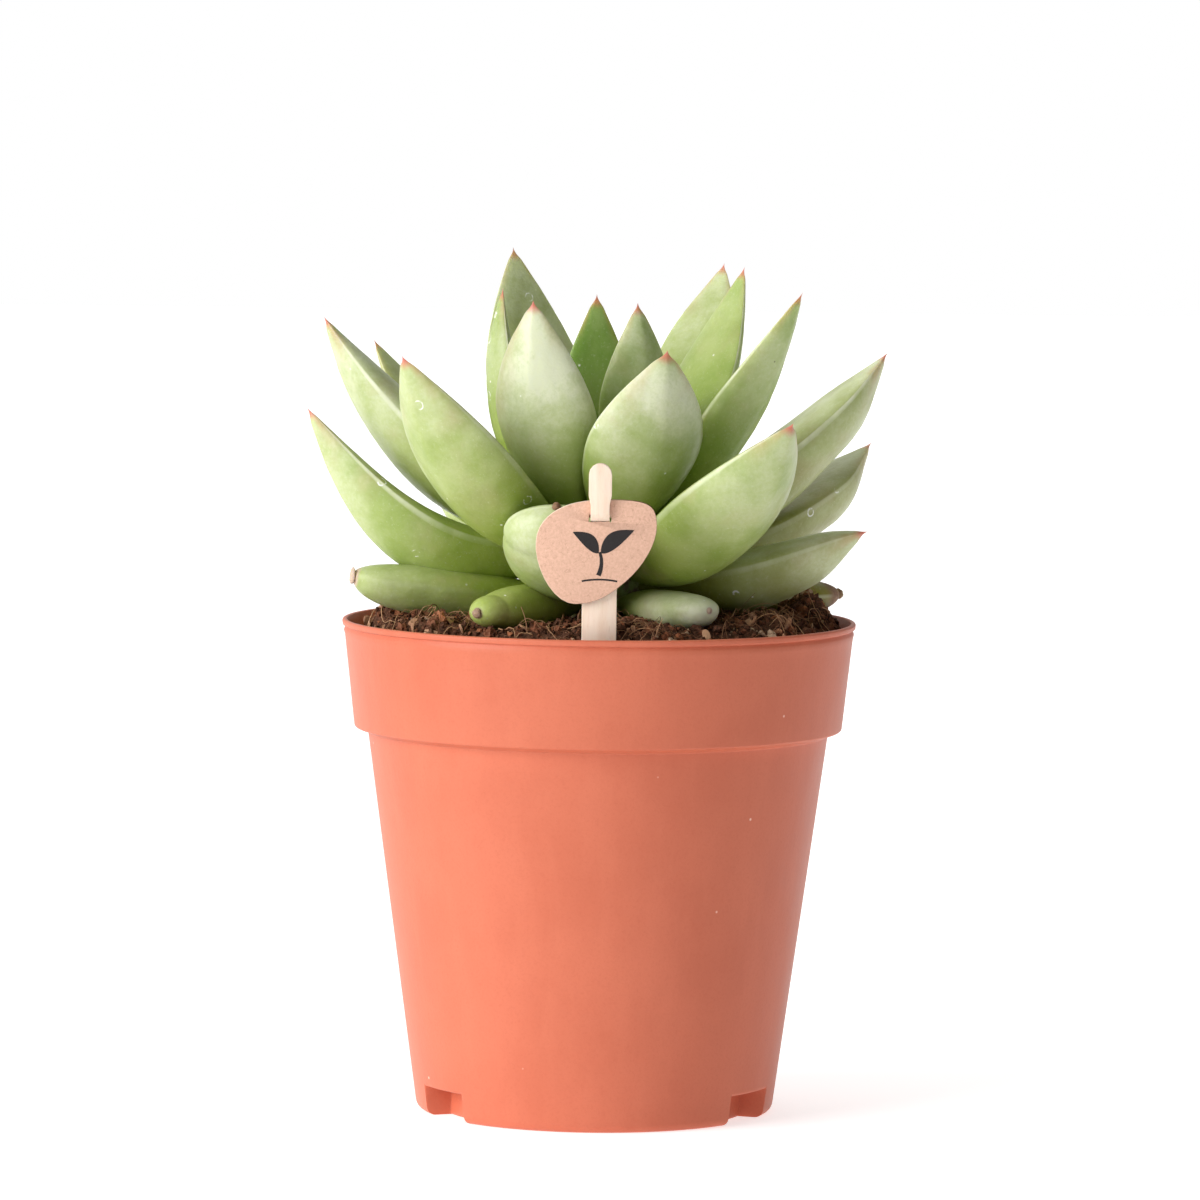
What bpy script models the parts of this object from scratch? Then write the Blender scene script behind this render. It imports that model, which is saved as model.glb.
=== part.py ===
"""A pointed-leaved echeveria in a stepped plastic nursery pot, with a card label on a stick.

Metres, +Z up. The pot stands on z = 0 with its axis on the Z axis, and the label is at the
front, -Y. Heights of the plant, the soil and the label are measured from the pot's rim.
"""

import math
from collections import namedtuple

import bmesh
import bpy
from mathutils import Matrix, Vector

GAP = 0.0003  # left between pieces that touch
MERGE = 0.00002
SPREAD_LIMIT = 0.3  # keeps an offset corner from running far out

# Nursery pot
POT_HEIGHT = 0.086
RIM_RADIUS = 0.045
RIM_BEAD = 0.0009  # radius of the rolled bead round the mouth
BEAD_OVERHANG = 0.00099  # how far the bead stands out from the collar
BEAD_LAND = 0.00036  # flat on top of the bead, inward from its centre
COLLAR_HEIGHT = 0.0188
COLLAR_TAPER = 0.0013
STEP_WIDTH = 0.0024
STEP_DROP = 0.0008
STEP_FILLET = 0.0009
FOOT_RADIUS = 0.0312
FOOT_RING_WIDTH = 0.006
FOOT_FILLET = 0.0018
BASE_LIFT = 0.0025
BASE_SLOPE = 0.7  # run of the slope from the foot ring up to the base, as a share of the lift
BASE_FILLET = 0.0010
WALL = 0.0008
MOUTH_FLARE = 0.4  # widening of the mouth's inner edge, as a share of the wall
RECESS_ANGLES = (-57, 59, 180)  # degrees from the front, positive towards +X
RECESS_WIDTH = 0.0115
RECESS_HEIGHT = 0.0052
RECESS_DEPTH = 0.0042
RECESS_ROUND = 0.0012
DRAIN_RADIUS = 0.003
DRAIN_CIRCLE = 0.013
CUTTER_OVERRUN = 0.006  # how far a cutter runs past the faces that it opens
POT_STEPS = 72

# Potting soil: the surface as radius and height above the rim, from the stem to the wall
SOIL_SURFACE = ((0.010, -0.0002), (0.022, -0.0005), (0.030, -0.0009), (0.0355, -0.0014), (0.0395, -0.0024))
SOIL_EDGE_DROP = 0.0036
SOIL_STEPS = 48

# Stem and root crown: radius and height above the rim, from the growing tip down
STEM_OUTLINE = (
    (0.0010, 0.0268),
    (0.0022, 0.0254),
    (0.0038, 0.0222),
    (0.0060, 0.0160),
    (0.0072, 0.0100),
    (0.0078, 0.0050),
    (0.0078, 0.0008),
    (0.0064, -0.0040),
    (0.0040, -0.0090),
    (0.0018, -0.0115),
)
STEM_TOP = 0.0272
STEM_BOTTOM = -0.0120
STEM_STEPS = 24

# Leaves
LEAF_RINGS = 8
RING_EASE = 1.25  # gathers the rings towards the base
LEAF_SIDE_STEPS = 4  # steps across the upper face and across the lower face
BASE_WIDTH = 0.33  # width of a leaf where it joins the stem, as a share of its full width
BASE_THICKNESS = 0.42
BASE_FLARE = 1.2  # how slowly a leaf widens from its base
BASE_STAND_OFF = 0.8  # room for a steep leaf's base, as a share of its thickness there
WIDEST = 0.56  # where a leaf is widest, from its base
THICKEST = 0.40
THICK_TAPER = 0.4  # how much later the thickness tapers than the width
BOW_PLACE = 0.45  # where the midline bows most, from its base
KEEL = 2.2  # how far a flat-topped leaf's lower face sharpens into a keel towards the tip

# azimuth in degrees from the front, positive towards +X; reach of the tip from the axis; height
# of the tip and of the base above the rim; full width and thickness; bow of the midline as a
# share of its length; taper, higher for a blunter tip; crown, the share of the thickness above
# the margins; roll about the midline and sweep of the base round the stem, in degrees
Leaf = namedtuple("Leaf", "azimuth reach tip base width thick bow taper crown roll sweep")
Leaf.__new__.__defaults__ = (0.05, 1.5, 0.22, 0, 0)

LEAVES = (
    # lowest leaves, lying over the soil
    Leaf(-76, 0.0440, 0.0068, 0.0044, 0.0110, 0.0080, 0.00, 5.0, 0.32),
    Leaf(-34, 0.0372, 0.0024, 0.0032, 0.0090, 0.0062, 0.00, 4.0, 0.48),
    Leaf(33, 0.0346, 0.0040, 0.0036, 0.0095, 0.0060, 0.00, 4.0, 0.42),
    Leaf(78, 0.0475, 0.0166, 0.0064, 0.0150, 0.0110, -0.03, 1.7, 0.25),
    Leaf(112, 0.0457, 0.0037, 0.0030, 0.0120, 0.0060, 0.00, 2.2, 0.45),
    Leaf(-120, 0.0430, 0.0036, 0.0036, 0.0130, 0.0068, 0.00, 2.2, 0.45),
    Leaf(-163, 0.0445, 0.0075, 0.0050, 0.0140, 0.0075, 0.00, 1.8, 0.40),
    Leaf(156, 0.0435, 0.0065, 0.0042, 0.0140, 0.0070, 0.00, 1.8, 0.40),
    # second ring
    Leaf(-82, 0.0516, 0.0370, 0.0122, 0.0165, 0.0112, 0.10, 1.6, 0.26, 12),
    Leaf(-13, 0.0330, 0.0217, 0.0100, 0.0220, 0.0095, 0.14, 4.0, 0.30),
    Leaf(40, 0.0506, 0.0367, 0.0110, 0.0225, 0.0122, 0.05, 1.9),
    Leaf(121, 0.0565, 0.0300, 0.0100, 0.0170, 0.0100, 0.06, 1.6),
    Leaf(-138, 0.0455, 0.0260, 0.0100, 0.0170, 0.0085, 0.05, 1.5),
    Leaf(170, 0.0450, 0.0260, 0.0100, 0.0175, 0.0085, 0.05, 1.5),
    # middle ring
    Leaf(-44, 0.0488, 0.0473, 0.0140, 0.0210, 0.0105, 0.06, 1.9),
    Leaf(-90, 0.0486, 0.0526, 0.0165, 0.0165, 0.0115, 0.06, 1.6, 0.36),
    Leaf(-122, 0.0480, 0.0477, 0.0135, 0.0160, 0.0080, 0.05, 1.5),
    Leaf(104, 0.0520, 0.0468, 0.0154, 0.0175, 0.0105, 0.04, 1.5, 0.22, 0, 4),
    Leaf(59, 0.0401, 0.0583, 0.0166, 0.0163, 0.0072, 0.02, 1.5, 0.22, 0, 13),
    Leaf(150, 0.0437, 0.0615, 0.0150, 0.0175, 0.0080, 0.04, 1.6),
    Leaf(-168, 0.0420, 0.0380, 0.0145, 0.0165, 0.0080, 0.05, 1.5),
    # upper ring
    Leaf(20, 0.0327, 0.0485, 0.0176, 0.0210, 0.0088, 0.06, 1.8, 0.22, 0, -8),
    Leaf(-25, 0.0280, 0.0566, 0.0187, 0.0185, 0.0090, 0.06, 1.7, 0.22, 0, -11),
    Leaf(128, 0.0319, 0.0614, 0.0195, 0.0160, 0.0075, 0.04, 1.5),
    Leaf(-150, 0.0320, 0.0642, 0.0182, 0.0200, 0.0072, 0.05, 1.5),
    # heart of the rosette
    Leaf(-85, 0.0174, 0.0580, 0.0200, 0.0125, 0.0068, 0.07, 1.5),
    Leaf(-176, 0.0140, 0.0565, 0.0208, 0.0125, 0.0052, 0.08, 1.5),
    Leaf(28, 0.0130, 0.0559, 0.0215, 0.0140, 0.0056, 0.08, 1.6),
    Leaf(92, 0.0100, 0.0455, 0.0212, 0.0100, 0.0044, 0.10, 1.6),
    Leaf(-122, 0.0090, 0.0480, 0.0222, 0.0095, 0.0038, 0.08, 1.6),
    Leaf(-30, 0.0062, 0.0410, 0.0228, 0.0090, 0.0036, 0.12, 1.6),
    Leaf(140, 0.0052, 0.0420, 0.0235, 0.0080, 0.0032, 0.12, 1.6),
    Leaf(-95, 0.0016, 0.0385, 0.0248, 0.0050, 0.0022, 0.12, 1.6),
    Leaf(70, 0.0020, 0.0375, 0.0250, 0.0050, 0.0022, 0.12, 1.6),
)

# Label stick: where it leaves the soil, its lean from upright, and its outline
STICK_THICKNESS = 0.0008
STICK_WIDTH = 0.0059
STICK_WALL_CLEARANCE = 0.0038  # from the pot's inner wall to the stick's middle, at the rim
STICK_DEEP_CLEARANCE = 0.0009  # the least distance from its middle to the wall lower down
STICK_LEAN = 5.0
STICK_BURIED = 0.034  # length below the rim
STICK_POINT = 0.008
STICK_POINT_WIDTH = 0.001
NECK_WIDTH = 0.0032
HEAD_WIDTH = 0.0039
HEAD_HEIGHT = 0.0055  # from the head's widest place to its top
HEAD_FLARE = 0.0017  # length over which the neck widens to the head
STICK_TOP = 0.0302
SLIT_HEIGHT = 0.0204  # where the neck passes through the card
SHOULDER_BELOW_SLIT = 0.0025
SHOULDER_HEIGHT = 0.0030
SHOULDER_ROUND = 0.0012
SHOULDER_SHARE = 0.9  # width at the shoulder's rounding, as a share of the shaft's
NECK_BEND = 0.0012  # half the length of stick that crosses from behind the card to its front

# Label card: an outline of rounded corners about the slit, as x, height, handle length, angle
CARD_THICKNESS = 0.0007
CARD_CORNERS = (
    (-0.0108, -0.0052, 0.0042, 95),
    (-0.0062, 0.0022, 0.0028, 25),
    (0.0048, 0.0034, 0.0038, -4),
    (0.0096, -0.0008, 0.0030, -88),
    (0.0044, -0.0105, 0.0040, -139),
    (-0.0040, -0.0144, 0.0034, -178),
)
CARD_STEPS = 8

POT_COLOUR = (0.76, 0.21, 0.12, 1)
SOIL_COLOUR = (0.055, 0.028, 0.018, 1)
LEAF_COLOUR = (0.36, 0.48, 0.17, 1)
STEM_COLOUR = (0.30, 0.27, 0.12, 1)
STICK_COLOUR = (0.79, 0.60, 0.44, 1)
CARD_COLOUR = (0.68, 0.42, 0.29, 1)


# ---------------------------------------------------------------- scene, materials, modifiers


def clear_scene():
    """Remove every object that the file starts with."""
    for item in list(bpy.data.objects):
        bpy.data.objects.remove(item, do_unlink=True)


def new_collection(name):
    """Make a collection in the scene."""
    collection = bpy.data.collections.new(name)
    bpy.context.scene.collection.children.link(collection)
    return collection


def principled(name, colour, roughness):
    """Make a non-metallic Principled material."""
    material = bpy.data.materials.new(name)
    material.use_nodes = True
    shader = material.node_tree.nodes["Principled BSDF"]
    shader.inputs["Base Color"].default_value = colour
    shader.inputs["Roughness"].default_value = roughness
    shader.inputs["Metallic"].default_value = 0.0
    return material


def new_object(name, mesh, collection, material=None):
    """Link a mesh into a collection as a named object, shaded smooth up to 40 degrees."""
    item = bpy.data.objects.new(name, mesh)
    collection.objects.link(item)
    if material:
        mesh.materials.append(material)
    mesh.shade_smooth()
    mesh.set_sharp_from_angle(angle=math.radians(40))
    return item


def as_cutter(item):
    """Mark an object as a tool that is not part of the model."""
    item.hide_render = True
    item.display_type = "WIRE"
    return item


def cut(item, cutter):
    """Take a cutter's shape out of an object."""
    modifier = item.modifiers.new("cut_" + cutter.name, "BOOLEAN")
    modifier.operation = "DIFFERENCE"
    modifier.solver = "EXACT"
    modifier.object = cutter


def turned(name, outline, steps, collection, material=None):
    """Turn an outline of (radius, height) points, outer side running down, about the Z axis."""
    mesh = bpy.data.meshes.new(name)
    edges = [(i, i + 1) for i in range(len(outline) - 1)]
    mesh.from_pydata([(radius, 0, height) for radius, height in outline], edges, [])
    item = new_object(name, mesh, collection, material)
    screw = item.modifiers.new("turn", "SCREW")
    screw.axis = "Z"
    screw.steps = steps
    screw.render_steps = steps
    screw.use_merge_vertices = True
    screw.merge_threshold = MERGE
    screw.use_smooth_shade = True
    return item


def around(angle):
    """Give the outward direction at an angle from the front, positive towards +X."""
    turn = math.radians(angle)
    return Vector((math.sin(turn), -math.cos(turn), 0))


# ---------------------------------------------------------------- outlines with rounded corners


def offset_corners(corners, distance):
    """Move a line of (radius, height, fillet) corners to its left-hand side."""
    points = [Vector(corner[:2]) for corner in corners]
    moved = []
    for i, point in enumerate(points):
        before = (point - points[i - 1]).normalized() if i else None
        after = (points[i + 1] - point).normalized() if i < len(points) - 1 else None
        before = before or after
        after = after or before
        middle = (before + after).normalized()
        normal = Vector((-middle.y, middle.x))
        spread = max(SPREAD_LIMIT, middle.dot(before))
        turn = before.x * after.y - before.y * after.x
        fillet = corners[i][2] - math.copysign(distance, turn) if corners[i][2] else 0
        place = point + normal * (distance / spread)
        moved.append((place.x, place.y, max(fillet, 0)))
    return moved


def rounded(corners, segments=2):
    """Turn (radius, height, fillet) corners into points, with an arc at each fillet."""
    points = []
    for i, (radius, height, fillet) in enumerate(corners):
        here = Vector((radius, height))
        if not fillet or i in (0, len(corners) - 1):
            points.append(tuple(here))
            continue
        into = (here - Vector(corners[i - 1][:2])).normalized()
        out = (Vector(corners[i + 1][:2]) - here).normalized()
        half_turn = into.angle(out) / 2
        reach = fillet * math.tan(half_turn)
        side = math.copysign(1, into.x * out.y - into.y * out.x)
        centre = here - into * reach + Vector((-into.y, into.x)) * side * fillet
        start = here - into * reach - centre
        for step in range(segments + 1):
            turn = Matrix.Rotation(side * 2 * half_turn * step / segments, 2)
            points.append(tuple(centre + turn @ start))
    return points


# ---------------------------------------------------------------- pot


def pot_corners():
    """Corners of the pot's outer side, from under the rim bead to the middle of the base."""
    collar_top = RIM_RADIUS - BEAD_OVERHANG
    collar_bottom = collar_top - COLLAR_TAPER
    collar_z = POT_HEIGHT - COLLAR_HEIGHT
    ring_inside = FOOT_RADIUS - FOOT_RING_WIDTH
    return [
        (collar_top, POT_HEIGHT - RIM_BEAD, 0),
        (collar_bottom, collar_z, STEP_FILLET),
        (collar_bottom - STEP_WIDTH, collar_z - STEP_DROP, STEP_FILLET),
        (FOOT_RADIUS, 0, FOOT_FILLET),
        (ring_inside, 0, BASE_FILLET),
        (ring_inside - BASE_LIFT * BASE_SLOPE, BASE_LIFT, BASE_FILLET),
        (0, BASE_LIFT, 0),
    ]


def rim_outline():
    """Points over the rim bead, from the pot's axis to under the bead."""
    centre_radius = RIM_RADIUS - RIM_BEAD
    centre_z = POT_HEIGHT - RIM_BEAD
    points = [(0, POT_HEIGHT), (centre_radius - BEAD_LAND, POT_HEIGHT)]
    for angle in (75, 40, 5, -30, -65):
        turn = math.radians(angle)
        points.append((centre_radius + RIM_BEAD * math.cos(turn), centre_z + RIM_BEAD * math.sin(turn)))
    return points


def lining_corners():
    """Corners of the pot's inner side."""
    return offset_corners(pot_corners(), -WALL)


def lining_radius(height):
    """Radius of the pot's inner side at a height, from its mouth to its foot."""
    corners = lining_corners()
    for (upper_r, upper_z, _), (lower_r, lower_z, _) in zip(corners, corners[1:]):
        if upper_z >= height >= lower_z:
            return upper_r + (upper_z - height) / (upper_z - lower_z) * (lower_r - upper_r)
    return corners[0][0]


def recess_block(name, angle, grow, collection):
    """Make the rounded block that hollows the pot's foot at one angle, grown on every side."""
    inner = FOOT_RADIUS - RECESS_DEPTH - grow
    outer = RIM_RADIUS
    width = RECESS_WIDTH + 2 * grow
    top = RECESS_HEIGHT + grow
    bottom = -CUTTER_OVERRUN
    mesh = bpy.data.meshes.new(name)
    shape = bmesh.new()
    bmesh.ops.create_cube(shape, size=1)
    middle = Matrix.Translation((0, -(inner + outer) / 2, (top + bottom) / 2))
    size = Matrix.Diagonal((width, outer - inner, top - bottom, 1))
    spin = Matrix.Rotation(math.radians(angle), 4, "Z")
    bmesh.ops.transform(shape, matrix=spin @ middle @ size, verts=shape.verts)
    shape.to_mesh(mesh)
    shape.free()
    block = as_cutter(new_object(name, mesh, collection))
    bevel = block.modifiers.new("round", "BEVEL")
    bevel.width = RECESS_ROUND
    bevel.segments = 2
    bevel.limit_method = "ANGLE"
    return block


def drain_places():
    """Places of the drain holes: one in the middle and one between each pair of recesses."""
    places = [Vector((0, 0, 0))]
    for angle in RECESS_ANGLES:
        places.append(around(angle + 60) * DRAIN_CIRCLE)
    return places


def build_pot(collection, cutters, material):
    """Make the pot: a turned shell with a stepped collar, foot recesses and drain holes."""
    pot = turned("nursery_pot", rim_outline() + rounded(pot_corners())[1:], POT_STEPS, collection, material)
    lining = rounded(lining_corners())
    mouth_radius = lining[0][0]
    flare = WALL * MOUTH_FLARE
    above = POT_HEIGHT + CUTTER_OVERRUN
    opening = [
        (0, above),
        (mouth_radius + flare, above),
        (mouth_radius + flare, POT_HEIGHT),
        (mouth_radius, POT_HEIGHT - flare),
    ]
    inside = opening + lining[1:-1] + [(0, lining[-1][1])]
    hollow = as_cutter(turned("pot_hollow", inside, POT_STEPS, cutters))
    for number, angle in enumerate(RECESS_ANGLES):
        cut(hollow, recess_block(f"recess_lining_{number}", angle, WALL, cutters))
        cut(pot, recess_block(f"recess_{number}", angle, 0, cutters))
    cut(pot, hollow)
    depth = 2 * (BASE_LIFT + WALL + CUTTER_OVERRUN)
    for number, place in enumerate(drain_places()):
        bpy.ops.mesh.primitive_cylinder_add(
            vertices=24, radius=DRAIN_RADIUS, depth=depth, location=place
        )
        drain = as_cutter(bpy.context.object)
        drain.name = f"drain_{number}"
        for home in list(drain.users_collection):
            home.objects.unlink(drain)
        cutters.objects.link(drain)
        cut(pot, drain)
    return pot


# ---------------------------------------------------------------- soil and stem


def build_soil(collection, cutters, material):
    """Make the soil: a plug that fits the pot, with a socket for the stem and one for the stick."""
    socket = [(0, POT_HEIGHT + STEM_BOTTOM - GAP)]
    for radius, height in reversed(STEM_OUTLINE):
        if height < SOIL_SURFACE[0][1]:
            socket.append((radius + GAP, POT_HEIGHT + height - GAP))
    collar = stem_radius(SOIL_SURFACE[0][1]) + GAP
    socket.append((collar, POT_HEIGHT + SOIL_SURFACE[0][1]))
    surface = [(radius, POT_HEIGHT + height) for radius, height in SOIL_SURFACE]
    side = rounded(offset_corners(pot_corners(), -WALL - GAP))
    edge_z = POT_HEIGHT - SOIL_EDGE_DROP
    slope = (side[1][0] - side[0][0]) / (side[1][1] - side[0][1])
    edge = (side[0][0] + slope * (edge_z - side[0][1]), edge_z)
    outline = socket + surface + [edge] + side[1:-1] + [(0, side[-1][1])]
    soil = turned("potting_soil", outline, SOIL_STEPS, collection, material)
    for number, angle in enumerate(RECESS_ANGLES):
        cut(soil, recess_block(f"recess_soil_{number}", angle, WALL + GAP, cutters))
    cut(soil, as_cutter(stick_object("stick_socket", GAP, cutters)))
    return soil


def stem_radius(height):
    """Radius of the stem at a height above the rim."""
    for (upper_r, upper_z), (lower_r, lower_z) in zip(STEM_OUTLINE, STEM_OUTLINE[1:]):
        if upper_z >= height >= lower_z:
            share = (upper_z - height) / (upper_z - lower_z)
            return upper_r + share * (lower_r - upper_r)
    return STEM_OUTLINE[0][0]


def build_stem(collection, material):
    """Make the short stem and its root crown."""
    outline = [(0, POT_HEIGHT + STEM_TOP)]
    outline += [(radius, POT_HEIGHT + height) for radius, height in STEM_OUTLINE]
    outline.append((0, POT_HEIGHT + STEM_BOTTOM))
    return turned("stem", outline, STEM_STEPS, collection, material)


# ---------------------------------------------------------------- leaves


def leaf_midline(leaf):
    """Give the three control points of a leaf's midline: base, bow and tip."""
    outward = around(leaf.azimuth)
    tip = outward * leaf.reach + Vector((0, 0, POT_HEIGHT + leaf.tip))
    foot = Vector((0, 0, POT_HEIGHT + leaf.base))
    rough = tip - foot
    steepness = rough.z / rough.length
    stand_off = BASE_STAND_OFF * BASE_THICKNESS * leaf.thick * abs(steepness)
    clear = stem_radius(leaf.base) + GAP + stand_off
    base = foot + around(leaf.azimuth + leaf.sweep) * clear
    chord = tip - base
    across = Vector((0, 0, 1)).cross(outward).normalized()
    above = across.cross(chord).normalized() * -1
    bow = base + chord * BOW_PLACE - above * (2 * leaf.bow * chord.length)
    return base, bow, tip


def leaf_width(leaf, along):
    """Half the width of a leaf at a share of its length."""
    if along < WIDEST:
        share = BASE_WIDTH + (1 - BASE_WIDTH) * math.sin(math.pi / 2 * along / WIDEST) ** BASE_FLARE
    else:
        share = 1 - ((along - WIDEST) / (1 - WIDEST)) ** leaf.taper
    return leaf.width / 2 * share


def leaf_thickness(leaf, along):
    """Thickness of a leaf at a share of its length."""
    if along < THICKEST:
        share = BASE_THICKNESS + (1 - BASE_THICKNESS) * math.sin(math.pi / 2 * along / THICKEST)
    else:
        share = 1 - ((along - THICKEST) / (1 - THICKEST)) ** (leaf.taper + THICK_TAPER)
    return leaf.thick * share


def leaf_section(leaf, along, centre, across, above):
    """Points round one section of a leaf: over the upper face, then back under the lower."""
    half = leaf_width(leaf, along)
    thick = leaf_thickness(leaf, along)
    keel = 1 + KEEL * along * (0.5 - leaf.crown)
    points = []
    for step in range(2 * LEAF_SIDE_STEPS):
        angle = math.pi * step / LEAF_SIDE_STEPS
        if step <= LEAF_SIDE_STEPS:
            rise = thick * leaf.crown * math.sin(angle)
        else:
            rise = -thick * (1 - leaf.crown) * abs(math.sin(angle)) ** keel
        points.append(centre + across * (half * math.cos(angle)) + above * rise)
    return points


def leaf_mesh(name, leaf):
    """Loft a leaf along its midline, from a flat base to a point."""
    base, bow, tip = leaf_midline(leaf)
    sideways = around(leaf.azimuth + 90)
    shape = bmesh.new()
    rings = []
    for number in range(LEAF_RINGS):
        along = 1 - (1 - number / LEAF_RINGS) ** RING_EASE
        centre = base * (1 - along) ** 2 + bow * (2 * along * (1 - along)) + tip * along**2
        tangent = ((bow - base) * (1 - along) + (tip - bow) * along).normalized()
        across = (sideways - tangent * sideways.dot(tangent)).normalized()
        across.rotate(Matrix.Rotation(math.radians(leaf.roll), 3, tangent))
        above = tangent.cross(across)
        section = leaf_section(leaf, along, centre, across, above)
        rings.append([shape.verts.new(point) for point in section])
    point = shape.verts.new(tip)
    count = len(rings[0])
    shape.faces.new(rings[0])
    for lower, upper in zip(rings, rings[1:]):
        for i in range(count):
            j = (i + 1) % count
            shape.faces.new((lower[j], lower[i], upper[i], upper[j]))
    for i in range(count):
        shape.faces.new((rings[-1][(i + 1) % count], rings[-1][i], point))
    bmesh.ops.recalc_face_normals(shape, faces=shape.faces)
    mesh = bpy.data.meshes.new(name)
    shape.to_mesh(mesh)
    shape.free()
    return mesh


# ---------------------------------------------------------------- label


def label_frame():
    """Place the label's own frame: its origin in the stick at rim height, Z up the stick."""
    lean = math.radians(STICK_LEAN)
    distances = [lining_radius(POT_HEIGHT) - STICK_WALL_CLEARANCE]
    for depth in (COLLAR_HEIGHT + STEP_DROP, STICK_BURIED):
        room = lining_radius(POT_HEIGHT - depth) - STICK_DEEP_CLEARANCE
        distances.append(room + depth * math.tan(lean))
    place = Matrix.Translation((0, -min(distances), POT_HEIGHT))
    return place @ Matrix.Rotation(lean, 4, "X")


def card_offset():
    """Distance from the stick's middle plane to the card's middle plane."""
    return (STICK_THICKNESS + CARD_THICKNESS) / 2 + GAP


def stick_outline():
    """Stations up the stick as height above the rim and half width."""
    shaft = STICK_WIDTH / 2
    neck = NECK_WIDTH / 2
    head = HEAD_WIDTH / 2
    shoulder = SLIT_HEIGHT - SHOULDER_BELOW_SLIT
    stations = [(-STICK_BURIED, STICK_POINT_WIDTH / 2), (-STICK_BURIED + STICK_POINT, shaft)]
    stations += [(0, shaft), (shoulder - SHOULDER_HEIGHT, shaft)]
    stations += [(shoulder - SHOULDER_ROUND, shaft * SHOULDER_SHARE), (shoulder, neck)]
    for share in (-1, -0.6, -0.2, 0.2, 0.6, 1):
        stations.append((SLIT_HEIGHT + share * NECK_BEND, neck))
    head_z = STICK_TOP - HEAD_HEIGHT
    stations += [(head_z - HEAD_FLARE, neck), (head_z, head)]
    for angle in (0, 25, 50, 70, 85):
        turn = math.radians(angle)
        stations.append((STICK_TOP - head + head * math.sin(turn), head * math.cos(turn)))
    return stations


def stick_bend(height):
    """How far the stick stands forward of its middle plane at a height above the rim."""
    share = min(1, max(0, (height - SLIT_HEIGHT + NECK_BEND) / (2 * NECK_BEND)))
    return 2 * card_offset() * share * share * (3 - 2 * share)


def stick_object(name, grow, collection, material=None):
    """Loft the stick from its flat sections, grown on every side when it is a cutter."""
    shape = bmesh.new()
    rings = []
    deep = STICK_THICKNESS / 2 + grow
    stations = stick_outline()
    for number, (height, half) in enumerate(stations):
        lift = -grow if number == 0 else grow if number == len(stations) - 1 else 0
        wide = half + grow
        forward = -stick_bend(height)
        corners = ((-wide, -deep), (wide, -deep), (wide, deep), (-wide, deep))
        rings.append([shape.verts.new((x, forward + y, height + lift)) for x, y in corners])
    shape.faces.new(rings[0])
    shape.faces.new(rings[-1])
    for lower, upper in zip(rings, rings[1:]):
        for i in range(4):
            j = (i + 1) % 4
            shape.faces.new((lower[i], lower[j], upper[j], upper[i]))
    bmesh.ops.recalc_face_normals(shape, faces=shape.faces)
    mesh = bpy.data.meshes.new(name)
    shape.to_mesh(mesh)
    shape.free()
    stick = new_object(name, mesh, collection, material)
    stick.matrix_world = label_frame()
    return stick


def card_blank(collection):
    """Make the card's outline as a flat closed curve about the slit, and give it thickness."""
    curve = bpy.data.curves.new("card_outline", "CURVE")
    curve.dimensions = "2D"
    curve.fill_mode = "BOTH"
    curve.extrude = CARD_THICKNESS / 2
    curve.resolution_u = CARD_STEPS
    spline = curve.splines.new("BEZIER")
    spline.bezier_points.add(len(CARD_CORNERS) - 1)
    for point, (x, height, handle, angle) in zip(spline.bezier_points, CARD_CORNERS):
        along = Vector((math.cos(math.radians(angle)), math.sin(math.radians(angle)), 0)) * handle
        point.co = (x, height, 0)
        point.handle_left = point.co - along
        point.handle_right = point.co + along
    spline.use_cyclic_u = True
    blank = bpy.data.objects.new("card_outline", curve)
    collection.objects.link(blank)
    return as_cutter(blank)


def build_card(collection, cutters, material):
    """Make the card: its outline, cut by the slit that the stick's neck passes through."""
    blank = card_blank(cutters)
    bpy.context.view_layer.update()
    evaluated = blank.evaluated_get(bpy.context.evaluated_depsgraph_get())
    mesh = bpy.data.meshes.new_from_object(evaluated)
    mesh.name = "label_card"
    bpy.data.objects.remove(blank)
    shape = bmesh.new()
    shape.from_mesh(mesh)
    bmesh.ops.remove_doubles(shape, verts=shape.verts, dist=MERGE)
    bmesh.ops.recalc_face_normals(shape, faces=shape.faces)
    shape.to_mesh(mesh)
    shape.free()
    mesh.materials.clear()
    card = new_object("label_card", mesh, collection, material)
    upright = Matrix.Rotation(math.radians(90), 4, "X")
    card.matrix_world = label_frame() @ Matrix.Translation((0, -card_offset(), SLIT_HEIGHT)) @ upright
    cut(card, as_cutter(stick_object("stick_slit", GAP, cutters)))
    return card


# ---------------------------------------------------------------- build


def build():
    """Build every piece of the potted plant."""
    clear_scene()
    parts = new_collection("potted_echeveria")
    cutters = new_collection("cutters")
    build_pot(parts, cutters, principled("pot_plastic", POT_COLOUR, 0.4))
    build_soil(parts, cutters, principled("soil", SOIL_COLOUR, 0.95))
    build_stem(parts, principled("stem", STEM_COLOUR, 0.7))
    skin = principled("leaf", LEAF_COLOUR, 0.45)
    for number, leaf in enumerate(LEAVES, start=1):
        name = f"leaf_{number:02d}"
        new_object(name, leaf_mesh(name, leaf), parts, skin)
    stick_object("label_stick", 0, parts, principled("label_stick", STICK_COLOUR, 0.75))
    build_card(parts, cutters, principled("label_card", CARD_COLOUR, 0.85))


build()
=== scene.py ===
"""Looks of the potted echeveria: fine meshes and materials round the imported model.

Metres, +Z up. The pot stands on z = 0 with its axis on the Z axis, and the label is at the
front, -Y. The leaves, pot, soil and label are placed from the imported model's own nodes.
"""

import math

import bmesh
import bpy
import numpy as np
from mathutils import Matrix, Vector, noise
from mathutils.bvhtree import BVHTree


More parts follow.
